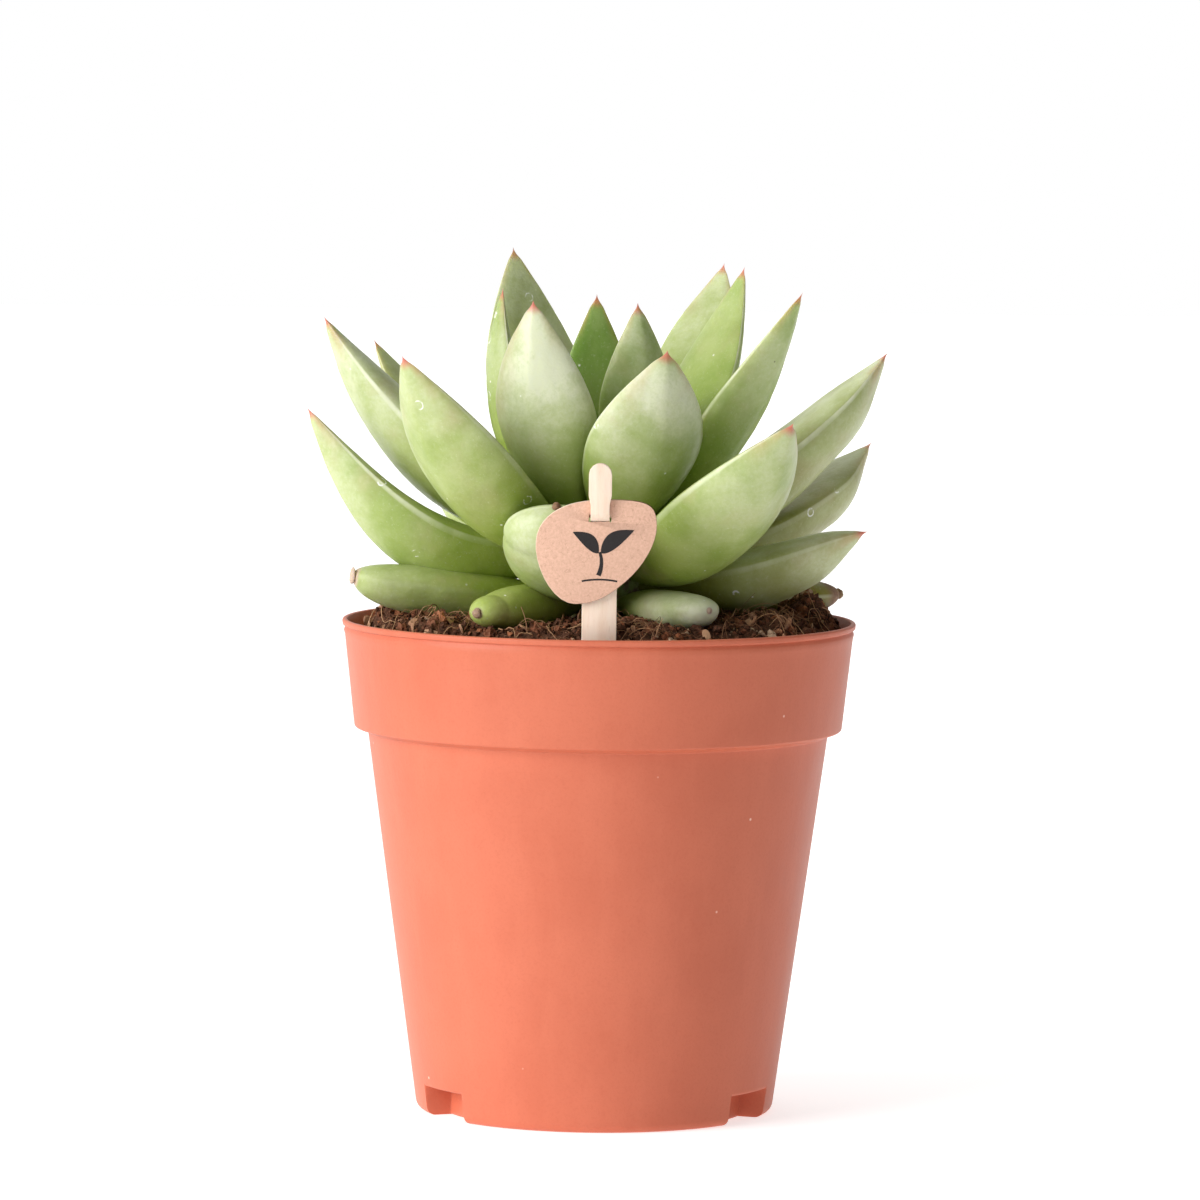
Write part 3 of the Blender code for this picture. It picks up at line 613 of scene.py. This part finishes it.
def leaf_piece(node, material):
    """Skin a leaf finely over its guides, with a crisp margin and a slender or a dried point."""
    number = int(node[5:])
    end = LEAF_ENDS.get(number)
    crowding, over_power, under_power, keel_edge, groove = BLUNT if end else POINTED
    guides = leaf_guides(node)
    share = np.linspace(0, 1, LEAF_STATIONS + 1)
    at = (1 - (1 - share) ** crowding) * (len(guides) - 1)
    plus, crest, minus, keel = (smooth_through(guides[:, i], at) for i in range(4))
    middle = (plus + minus) / 2
    parts = [(plus - minus) / 2, crest - middle, keel - middle]
    centre, half, rise, drop, from_base = shaped(middle, parts, LEAF_SHAPES.get(number, {}), bool(end))
    length = from_base[-1]
    from_tip = length - from_base
    sharpen = keel_edge * smoothstep(from_base / length * 1.1)

    count = 2 * FACE_STEPS
    angles = np.arange(count) * math.pi / FACE_STEPS
    side = np.cos(angles)
    lift = np.abs(np.sin(angles))
    upper = angles <= math.pi
    over = lift**over_power - groove * np.exp(-((side / 0.4) ** 2))
    rings = []
    for i in range(LEAF_STATIONS):
        under = (1 - sharpen[i]) * lift**under_power + sharpen[i] * (1 - np.abs(side))
        bulge = np.where(upper[:, None], rise[i] * over[:, None], drop[i] * under[:, None])
        rings.append(centre[i] + half[i] * side[:, None] + bulge)
    tuck = (centre[0] - centre[1]) / np.linalg.norm(centre[0] - centre[1]) * BASE_TUCK
    rings.insert(0, (rings[0] - centre[0]) * BASE_SHRINK + centre[0] + tuck)
    points = np.concatenate(rings + [centre[:1] + tuck, centre[-1:]])

    seed = Vector((hash_of(node), 0, 0))
    ring_centres = np.concatenate([centre[:1] + tuck, centre[:LEAF_STATIONS]])
    for i in range(len(rings)):
        fade = min(1, max(0, (from_tip[max(i - 1, 0)] - MUCRO_LENGTH) / WAVE_FADE))
        for k in range(i * count, (i + 1) * count):
            p = Vector(points[k])
            away = (p - Vector(ring_centres[i])).normalized()
            wave = sum(height * noise.noise(p * scale + seed) for height, scale in SKIN_WAVES)
            points[k] = p + away * (wave * fade)

    faces = ring_faces(len(rings), count)
    last = (len(rings) - 1) * count
    base_point = len(rings) * count
    for j in range(count):
        n = (j + 1) % count
        faces.append((n, j, base_point))
        faces.append((last + j, last + n, base_point + 1))
    dry = np.zeros(len(points))
    pale = 0
    if end:
        radius, flat, pale, reach = end
        knob, triangles = dried_end(centre, radius, flat, seed)
        to_tip = np.linalg.norm(points - centre[-1], axis=1)
        dry = 1 - smoothstep((to_tip - reach * 0.7) / (reach * 0.5))
        dry = np.concatenate([dry, np.ones(len(knob))])
        faces += (triangles + len(points)).tolist()
        points = np.concatenate([points, knob])
    piece = mesh_object(node + "_skin", points, faces, material)
    total = len(points)
    extra = total - base_point - 2
    along = np.repeat(np.concatenate([[0], from_base[:LEAF_STATIONS]]) / length, count)
    set_values(piece, "along", np.concatenate([along, [0, 1], np.ones(extra)]))
    set_values(piece, "side", np.concatenate([np.tile(side, len(rings)), [0, 0], np.zeros(extra)]))
    set_values(piece, "tip_distance", np.linalg.norm(points - centre[-1], axis=1))
    set_values(piece, "dry", dry)
    whole = dict(zip(LOOK_NAMES, LEAF_LOOKS.get(number, USUAL_LOOK)), red=0 if end else 1, pale=pale)
    for name, value in whole.items():
        set_values(piece, name, np.full(total, value))
    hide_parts(node)
    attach(piece, "root")
    return piece


def dried_end(centre, radius, flat, seed):
    """A lumpy dried knob on a blunt leaf's end, as points and faces."""
    base, triangles = ball(3)
    lumps = [1 + 0.22 * noise.noise(Vector(p) * 1.7 + seed) for p in base]
    base = base * np.array(lumps)[:, None]
    heading = Vector(centre[-1] - centre[-6]).normalized()
    turn = np.array(heading.to_track_quat("Z", "Y").to_matrix())
    points = (base * np.array((1, 1, flat)) * radius) @ turn.T
    return points + centre[-1] + np.array(heading) * radius * 0.1, triangles


def hash_of(name):
    """A small number that is the same for a name in every run."""
    return sum(ord(letter) * (i + 3) for i, letter in enumerate(name)) % 97


# ---- pot


def cad_tree(node):
    """Make a search tree of a CAD node's faces."""
    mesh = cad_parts[node].data
    return BVHTree.FromPolygons([v.co for v in mesh.vertices], [p.vertices for p in mesh.polygons])


def around(angle):
    """Give the outward direction at an angle from the front, positive towards +X."""
    turn = math.radians(angle)
    return Vector((math.sin(turn), -math.cos(turn), 0))


def side_line(tree, high, low):
    """Straight side of the CAD pot through two heights, as the radius at any height."""
    upper, lower = (-tree.ray_cast(Vector((0, -0.2, z)), Vector((0, 1, 0)))[0].y for z in (high, low))
    return lambda z: lower + (upper - lower) * (z - low) / (high - low)


def offset_corners(corners, distance):
    """Move a line of (radius, height, fillet) corners to its left-hand side."""
    points = [Vector(corner[:2]) for corner in corners]
    moved = []
    for i, point in enumerate(points):
        before = (point - points[i - 1]).normalized() if i else None
        after = (points[i + 1] - point).normalized() if i < len(points) - 1 else None
        before = before or after
        after = after or before
        middle = (before + after).normalized()
        normal = Vector((-middle.y, middle.x))
        turn = before.x * after.y - before.y * after.x
        fillet = corners[i][2] - math.copysign(distance, turn) if corners[i][2] else 0
        place = point + normal * (distance / max(0.3, middle.dot(before)))
        moved.append((place.x, place.y, max(fillet, 0)))
    return moved


def rounded(corners, segments=6):
    """Turn (radius, height, fillet) corners into points, with an arc at each fillet."""
    points = []
    for i, (radius, height, fillet) in enumerate(corners):
        here = Vector((radius, height))
        if not fillet or i in (0, len(corners) - 1):
            points.append(tuple(here))
            continue
        into = (here - Vector(corners[i - 1][:2])).normalized()
        out = (Vector(corners[i + 1][:2]) - here).normalized()
        half_turn = into.angle(out) / 2
        reach = fillet * math.tan(half_turn)
        side = math.copysign(1, into.x * out.y - into.y * out.x)
        centre = here - into * reach + Vector((-into.y, into.x)) * side * fillet
        start = here - into * reach - centre
        for step in range(segments + 1):
            turn = Matrix.Rotation(side * 2 * half_turn * step / segments, 2)
            points.append(tuple(centre + turn @ start))
    return points


def spaced(corners, longest=None, count=None):
    """Put points along a rounded line, no further apart than longest, or a count of them evenly."""
    points = np.array(rounded(corners), float)
    steps = np.linalg.norm(np.diff(points, axis=0), axis=1)
    at = np.concatenate([[0], np.cumsum(steps)])
    if count:
        places = np.linspace(0, at[-1], count)
    else:
        parts = [np.linspace(a, b, int((b - a) / longest) + 1, endpoint=False) for a, b in zip(at, at[1:])]
        places = np.concatenate(parts + [at[-1:]])
    return np.stack([np.interp(places, at, points[:, i]) for i in (0, 1)], axis=1)


def pot_sections():
    """The pot's outline as (radius, height): plain, and through a recess, with equal counts."""
    tree = cad_tree("nursery_pot")
    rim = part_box("nursery_pot")[1]
    top = rim.z
    step = top - COLLAR_HEIGHT
    collar = side_line(tree, top - COLLAR_MARKS[0], step + COLLAR_MARKS[1])
    wall = side_line(tree, step - WALL_MARKS[0], WALL_MARKS[1])
    foot = wall(0)
    ring = foot - FOOT_RING_WIDTH
    lifted = ring - BASE_LIFT * 0.7
    back = foot - RECESS_DEPTH
    start = [(collar(top), top - LIP_HEIGHT, 0), (collar(step), step, 0.0005)]
    start += [(wall(step - STEP_DROP), step - STEP_DROP, 0.0005)]
    middle = (wall(FOOT_TOP), FOOT_TOP, 0)
    meet = (ring + 0.0008, 0, 0)
    end = [(ring, 0, 0.001), (lifted, BASE_LIFT, 0.001), (DRAIN_RADIUS, BASE_LIFT, 0)]
    heel = (ring + WALL, WALL, 0)
    base = [heel, (lifted + WALL * 0.5, BASE_LIFT + WALL, 0.0006), (DRAIN_RADIUS, BASE_LIFT + WALL, 0)]
    plain = [middle, (foot, 0, 0.0016), meet]
    notch = [middle, (wall(RECESS_HEIGHT), RECESS_HEIGHT, 0.0005), (back, RECESS_HEIGHT, 0.0008)]
    notch += [(back, 0, 0.0004), meet]
    split = len(start) + 1
    sections = []
    for way in (plain, notch):
        upper, foot_part = spaced(start + [middle], WALL_STEP), spaced(way, count=FOOT_POINTS)
        outer = np.concatenate([upper[:-1], foot_part, spaced([meet] + end, BASE_STEP)[1:]])
        inside = offset_corners(start + way[:-1] + end, -WALL)
        upper = spaced(inside[:split], WALL_STEP)
        foot_part = spaced(inside[split - 1 : len(start) + len(way) - 1] + [heel], count=FOOT_POINTS)
        inner = np.concatenate([upper[:-1], foot_part, spaced(base, BASE_STEP)[1:]])
        mouth = inner[0][0]
        lip = [
            (mouth, top - LIP_HEIGHT, 0),
            (mouth + WALL * 0.3, top, 0.0003),
            (rim.x, top, 0.0004),
            (rim.x - 0.0001, top - LIP_HEIGHT, 0.0002),
            (collar(top) - LIP_GROOVE, top - LIP_HEIGHT - 0.00015, 0.0001),
            (collar(top), top - LIP_HEIGHT - 0.0010, 0),
        ]
        edge = spaced(lip, LIP_STEP)
        outer[0] = edge[-1]
        sections.append(np.concatenate([edge[:-1], outer, inner[:0:-1]]))
    return sections


def pot_angles():
    """Angles of the pot's columns, closer together at the recess sides."""
    angles = set(np.round(np.arange(POT_COLUMNS) * 360 / POT_COLUMNS, 4))
    for middle in RECESS_ANGLES:
        for side in (-1, 1):
            for part in (-0.5, -0.35, -0.2, 0, 0.2, 0.35, 0.5):
                angles.add(round((middle + side * (RECESS_HALF + part * RECESS_SIDE)) % 360, 4))
    return sorted(angles)


def pot_piece(material):
    """Turn the pot's outline, giving way to the recess outline at the foot, and drill it."""
    plain, notch = pot_sections()
    rows = []
    for angle in pot_angles():
        nearest = min(abs((angle - middle + 180) % 360 - 180) for middle in RECESS_ANGLES)
        share = smoothstep((RECESS_HALF - nearest) / RECESS_SIDE + 0.5)
        section = plain * (1 - share) + notch * share
        out = around(angle)
        wobble = 1 + OUT_OF_ROUND * math.sin(math.radians(2 * angle) + 0.8)
        rows.append([(out.x * r * wobble, out.y * r * wobble, z) for r, z in section])
    faces = ring_faces(len(rows), len(plain), closed=True)
    piece = mesh_object("pot_shell", np.array(rows).reshape(-1, 3), faces, material)
    for number, angle in enumerate(RECESS_ANGLES):
        place = around(angle + 60) * DRAIN_CIRCLE
        bpy.ops.mesh.primitive_cylinder_add(vertices=48, radius=DRAIN_RADIUS, depth=0.02, location=place)
        drill = bpy.context.object
        hole = piece.modifiers.new(f"drain_{number}", "BOOLEAN")
        hole.operation = "DIFFERENCE"
        hole.solver = "EXACT"
        hole.object = drill
        bpy.context.view_layer.update()
        evaluated = piece.evaluated_get(bpy.context.evaluated_depsgraph_get())
        drilled = bpy.data.meshes.new_from_object(evaluated)
        piece.modifiers.clear()
        piece.data = drilled
        bpy.data.objects.remove(drill)
    piece.data.set_sharp_from_angle(angle=math.radians(50))
    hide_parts("nursery_pot")
    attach(piece, "root")


# ---- soil


def mound(x, y):
    """How far the loose surface stands above the CAD soil: a low ring and a few heaps."""
    radius = math.hypot(x, y)
    ring = smoothstep((radius - RAISE_START[0]) / RAISE_START[1])
    ring = SOIL_RAISE * float(ring * smoothstep((RAISE_END[0] - radius) / RAISE_END[1]))
    heaps = 0
    for angle, out, height, spread in SOIL_HEAPS:
        place = around(angle) * out
        heaps += height * math.exp(-((x - place.x) ** 2 + (y - place.y) ** 2) / spread**2)
    return ring + heaps


class Ground:
    """The loose surface of the soil, and what stands in it."""

    def __init__(self, standing):
        self.soil = cad_tree("potting_soil")
        self.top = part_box("potting_soil")[1].z + 0.01
        self.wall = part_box("potting_soil")[1].x
        points = []
        faces = []
        for piece in standing:
            start = len(points)
            points += [v.co for v in piece.data.vertices]
            faces += [[start + i for i in face.vertices] for face in piece.data.polygons]
        self.standing = BVHTree.FromPolygons(points, faces)

    def height(self, x, y):
        """Height of the loose surface, without its lumps."""
        hit = self.soil.ray_cast(Vector((x, y, self.top)), Vector((0, 0, -1)))
        if hit[0] is None or hit[0].z < self.top - 0.02:
            # past the edge of the CAD soil, a place nearer to the axis says how high it is
            return self.height(x * 0.93, y * 0.93) if math.hypot(x, y) > 0.02 else self.top - 0.0102
        return hit[0].z + mound(x, y)

    def surface(self, x, y):
        """Height of the loose surface with its lumps."""
        p = Vector((x, y, 0))
        coarse = COARSE_LUMPS[0] * noise.fractal(p * COARSE_LUMPS[1], 0.8, 2.0, 4)
        return self.height(x, y) + (coarse + FINE_LUMPS[0] * noise.noise(p * FINE_LUMPS[1]))

    def place(self, rng, number, every):
        """A random place: in one of the heaps for one in so many numbers, else anywhere."""
        if number % every:
            radius = math.sqrt(rng.uniform(0.009**2, self.wall**2))
            x, y = around(math.degrees(rng.uniform(0, 2 * math.pi)))[:2]
            x, y = x * radius, y * radius
        else:
            angle, out, _, spread = SOIL_HEAPS[number % len(SOIL_HEAPS)]
            x, y = np.array(around(angle)[:2]) * out + rng.normal(0, spread * 0.75, 2)
            limit = min(1, (self.wall - 0.001) / math.hypot(x, y))
            x, y = x * limit, y * limit
        return Vector((x, y, self.surface(x, y)))

    def clear(self, place, size):
        """Say whether a crumb of a size fits at a place."""
        if math.hypot(place.x, place.y) + size > self.wall:
            return False
        near, normal, _, distance = self.standing.find_nearest(place)
        return distance > size * 0.75 and (place - near).dot(normal) > 0


def soil_bed(ground, material):
    """Skin the soil with its lumpy loose surface, a closed layer over the CAD soil."""
    radii = np.linspace(BED_START, ground.wall - 0.0001, BED_RINGS)
    rows = []
    for column in range(BED_COLUMNS):
        out = around(360 * column / BED_COLUMNS)
        line = [(out.x * r, out.y * r) for r in radii]
        row = [(x, y, ground.surface(x, y)) for x, y in line]
        rows.append(row + [(x, y, ground.height(x, y) - BED_DEPTH) for x, y in (line[-1], line[0])])
    points = np.array(rows).reshape(-1, 3)
    faces = ring_faces(len(rows), len(rows[0]), closed=True)
    tones = [0.25 + 0.3 * noise.noise(Vector(p) * 300) for p in points]
    soil_piece("soil_bed", points, faces, tones, material, True)


def soil_piece(name, points, faces, tones, material, smooth=False):
    """Make a piece of the loose surface, with a tone on each point."""
    piece = mesh_object(name, points, faces, material, smooth)
    set_values(piece, "tone", tones)
    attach(piece, "root")


def grains_piece(name, grains, triangles, material):
    """Join grains of (points, tone), all with the same triangles, into one piece."""
    count = len(grains[0][0])
    points = np.concatenate([shape for shape, tone in grains])
    faces = np.concatenate([triangles + number * count for number in range(len(grains))]).tolist()
    tones = np.repeat([tone for shape, tone in grains], count)
    soil_piece(name, points, faces, tones, material)


def ball(divisions):
    """Points and faces of a rough ball of radius 1."""
    shape = bmesh.new()
    bmesh.ops.create_icosphere(shape, subdivisions=divisions, radius=1)
    points = np.array([v.co[:] for v in shape.verts])
    faces = np.array([[v.index for v in face.verts] for face in shape.faces])
    shape.free()
    return points, faces


def random_turn(rng):
    """A random rotation as a 3 by 3 array."""
    x, y, z = rng.uniform(0, 2 * math.pi, 3)
    turn = Matrix.Rotation(x, 3, "X") @ Matrix.Rotation(y, 3, "Y") @ Matrix.Rotation(z, 3, "Z")
    return np.array(turn)


def crumbs(name, ground, rng, count, smallest, largest, divisions, material):
    """Scatter crumbs over the ground as one piece, each with a tone of its own."""
    base, triangles = ball(divisions)
    grains = []
    for number in range(count):
        place = ground.place(rng, number, 5)
        size = smallest + (largest - smallest) * rng.uniform() ** 2.5
        shape = base * rng.uniform(0.55, 1.4, (len(base), 1)) * rng.uniform(0.55, 1.15, 3)
        turn = random_turn(rng)
        tone = rng.uniform()
        place.z += size * rng.uniform(0.05, 0.75)
        if ground.clear(place, size):
            grains.append((shape @ turn.T * size + np.array(place), tone))
    grains_piece(name, grains, triangles, material)


def chips(ground, rng, material):
    """Lay thin splinters of bark on the ground."""
    base, triangles = ball(2)
    base = np.sign(base) * np.abs(base) ** 0.6
    grains = []
    for number in range(CHIP_COUNT):
        place = ground.place(rng, number, 3)
        size = rng.uniform(0.0005, 0.0016)
        rough = rng.uniform(0.85, 1.15, (len(base), 1))
        turn = random_turn(rng)
        tone = rng.uniform(0, 0.8)
        place.z += size * 0.4
        if ground.clear(place, size):
            shape = base * rough * np.array((1, rng.uniform(0.35, 0.7), 0.16)) * size
            grains.append((shape @ turn.T + np.array(place), tone))
    grains_piece("soil_bark", grains, triangles, material)


def tube(path, radii, sides=5):
    """Points and faces of a closed tube along a path."""
    path = np.array(path)
    tangents = np.gradient(path, axis=0)
    tangents /= np.linalg.norm(tangents, axis=1)[:, None]
    helper = np.array((0.31, 0.17, 0.93))
    first = np.cross(tangents, helper)
    first /= np.linalg.norm(first, axis=1)[:, None]
    second = np.cross(tangents, first)
    angles = np.arange(sides) * 2 * math.pi / sides
    ring = first[:, None] * np.cos(angles)[:, None] + second[:, None] * np.sin(angles)[:, None]
    points = (path[:, None] + ring * np.array(radii)[:, None, None]).reshape(-1, 3)
    faces = ring_faces(len(path), sides)
    faces += [tuple(range(sides))[::-1], tuple(range(len(points) - sides, len(points)))]
    return points, faces


def fibres(ground, rng, material):
    """Lay coir and root fibres over the ground: random ones, then those that stand up."""
    paths = [smooth_through(route, np.linspace(0, len(route) - 1, 22)) for route in FIBRES]
    for number in range(FIBRE_COUNT):
        place = ground.place(rng, number, 3)
        heading = rng.uniform(0, 2 * math.pi)
        length = rng.uniform(0.003, 0.012)
        curl = rng.uniform(-2.6, 2.6)
        arch = rng.uniform(0.0003, 0.0022)
        path = []
        for share in np.linspace(0, 1, FIBRE_STEPS):
            x, y = place.x, place.y
            place.x += math.cos(heading) * length / FIBRE_STEPS
            place.y += math.sin(heading) * length / FIBRE_STEPS
            heading += curl / FIBRE_STEPS
            path.append((x, y, ground.surface(x, y) + 0.0004 + arch * math.sin(math.pi * share)))
        if all(ground.clear(Vector(p), 0.0006) for p in path):
            paths.append(path)
    points, faces, tones = [], [], []
    for path in paths:
        radii = rng.uniform(0.00004, 0.0001) * np.linspace(1.15, 0.55, len(path))
        more, quads = tube(path, radii)
        faces += [tuple(i + len(points) for i in face) for face in quads]
        points += list(more)
        tones += [rng.uniform(0, 1) ** 1.6] * len(more)
    soil_piece("soil_fibres", points, faces, tones, material, True)


# ---- label


def card_frame():
    """Middle of the card's front face, with its directions to the right, up and out."""
    points = np.array([v.co[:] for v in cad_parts["label_card"].data.vertices])
    centre = (points.min(0) + points.max(0)) / 2
    out = np.linalg.svd(points - points.mean(0))[2][2]
    out = Vector(out if out[1] < 0 else -out)
    right = Vector((1, 0, 0))
    up = out.cross(right).normalized()
    front = max((Vector(p) - Vector(centre)).dot(out) for p in points)
    return Vector(centre) + out * front, right, up, out


def blade(root, tip, width, bend):
    """Outline of a sprout's leaf from its root to its tip, bent to one side."""
    root, tip = np.array(root), np.array(tip)
    along = tip - root
    across = np.array((-along[1], along[0]))
    across = across / np.linalg.norm(across)
    share = np.linspace(0, 1, 20)
    middle = root + along * share[:, None] + across * (bend * np.sin(math.pi * share))[:, None]
    half = width / 2 * np.sin(math.pi * share**0.8) ** 0.9
    one = middle + across * half[:, None]
    other = middle - across * half[:, None]
    return np.concatenate([one, other[-2:0:-1]])


def stalk(points, wide, narrow):
    """Outline of a tapering stalk along a line."""
    middle = smooth_through(points, np.linspace(0, len(points) - 1, 16))
    along = np.gradient(middle, axis=0)
    across = np.stack([-along[:, 1], along[:, 0]], axis=1)
    across /= np.linalg.norm(across, axis=1)[:, None]
    half = np.linspace(wide, narrow, len(middle))[:, None] / 2
    return np.concatenate([middle + across * half, (middle - across * half)[::-1]])


def card_print(material):
    """Print a plain two-leaved sprout on the card, as a thin layer of ink."""
    origin, right, up, out = card_frame()
    outlines = [
        blade((0.0002, -0.0006), (0.0058, 0.0034), 0.0026, 0.0006),
        blade((-0.0002, -0.0006), (-0.0046, 0.0030), 0.0023, -0.0006),
        stalk([(0.0, -0.0004), (0.0003, -0.0024), (-0.0002, -0.0044)], 0.00045, 0.0008),
        stalk([(-0.0030, -0.0054), (0.0, -0.0051), (0.0030, -0.0054)], 0.0003, 0.0003),
    ]
    points, faces = [], []
    for outline in outlines:
        start = len(points)
        count = len(outline)
        for lift in (-INK_DEPTH, INK_DEPTH):
            for x, y in outline + np.array(PRINT_PLACE):
                points.append(origin + right * x + up * y + out * lift)
        faces += ring_faces(2, count, start)
        faces += [tuple(range(start, start + count))[::-1], tuple(range(start + count, start + 2 * count))]
    piece = mesh_object("card_sprout", points, faces, material, False)
    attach(piece, "root")


# ---- stage


def stage():
    """A pale floor, a soft key from the left and a bright surround."""
    bpy.ops.mesh.primitive_plane_add(size=FLOOR_SIZE, location=(0, 0, 0))
    floor = bpy.context.object
    floor.name = "floor"
    p = Paint("floor_paper", Roughness=0.9, Emission_Color=(1, 1, 1, 1), Emission_Strength=FLOOR_GLOW)
    colour = p.mix(p.noise(0.3, 2), (0.73, 0.725, 0.72, 1), (0.75, 0.745, 0.74, 1))
    floor.data.materials.append(p.finish(colour))

    world = bpy.data.worlds.new("studio")
    bpy.context.scene.world = world
    world.use_nodes = True
    sky = Nodes(world.node_tree)
    way = sky.node("SeparateXYZ", {0: sky.node("TexCoord").outputs["Generated"]}).outputs
    behind = sky.ramp(way["Y"], -0.5, 0.6, 0.15, 0.82, "LINEAR")
    above = sky.ramp(way["Z"], 0.2, 0.9, 0.0, 0.3, "LINEAR")
    left = sky.ramp(way["X"], -0.1, 0.8, 1.0, 0.22, "LINEAR")
    glow = sky.times(sky.math("ADD", behind, above), left)
    seen = sky.node("LightPath").outputs["Is Camera Ray"]
    back = world.node_tree.nodes["Background"]
    back.inputs["Color"].default_value = (1, 1, 1, 1)
    world.node_tree.links.new(sky.math("MAXIMUM", glow, seen), back.inputs["Strength"])

    sun = bpy.data.lights.new("key", "SUN")
    sun.energy = KEY_STRENGTH
    sun.angle = math.radians(KEY_ANGLE)
    lamp = bpy.data.objects.new("key", sun)
    lamp.rotation_euler = Vector(KEY_DIRECTION).to_track_quat("-Z", "Y").to_euler()
    bpy.context.scene.collection.objects.link(lamp)


def camera():
    """A long lens a little above the rim, with a slight roll."""
    data = bpy.data.cameras.new("camera")
    data.sensor_width = 36
    data.lens = LENS
    data.shift_x = LENS_SHIFT
    item = bpy.data.objects.new("camera", data)
    pitch = Matrix.Rotation(math.radians(90 - CAMERA_DIP), 4, "X")
    roll = Matrix.Rotation(math.radians(CAMERA_ROLL), 4, "Z")
    item.matrix_world = Matrix.Translation(CAMERA_PLACE) @ pitch @ roll
    bpy.context.scene.collection.objects.link(item)
    bpy.context.scene.camera = item


# ---- build


def dress(node, material, bevel=0.0):
    """Give a kept CAD node its material, smooth shading and, where named, softened edges."""
    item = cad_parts[node]
    item.data.materials.clear()
    item.data.materials.append(material)
    weld = item.modifiers.new("weld", "WELD")
    weld.merge_threshold = MERGE
    if bevel:
        flat = item.modifiers.new("flat", "DECIMATE")
        flat.decimate_type = "DISSOLVE"
        flat.angle_limit = math.radians(1)
        edge = item.modifiers.new("edge", "BEVEL")
        edge.width = bevel
        edge.segments = 3
        edge.limit_method = "ANGLE"
        edge.angle_limit = math.radians(35)
    for face in item.data.polygons:
        face.use_smooth = True


def build():
    """Build every piece."""
    bpy.context.scene.view_settings.view_transform = "Standard"
    leaf_skin = leaf_material()
    leaves = [leaf_piece(node, leaf_skin) for node in sorted(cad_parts) if node.startswith("leaf_")]
    pot_piece(pot_material())
    peat = soil_material()
    dress("potting_soil", peat)
    ground = Ground(leaves + [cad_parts["label_stick"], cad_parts["stem"]])
    rng = np.random.default_rng(SEED)
    soil_bed(ground, peat)
    crumbs("soil_crumbs", ground, rng, *CRUMBS, peat)
    crumbs("soil_clods", ground, rng, *CLODS, peat)
    chips(ground, rng, chip_material())
    fibres(ground, rng, fibre_material())
    dress("stem", stem_material())
    dress("label_stick", wood_material(), STICK_EDGE)
    _, right, _, out = card_frame()
    dress("label_card", card_material(out, right), CARD_EDGE)
    card_print(ink_material())
    stage()
    camera()


build()
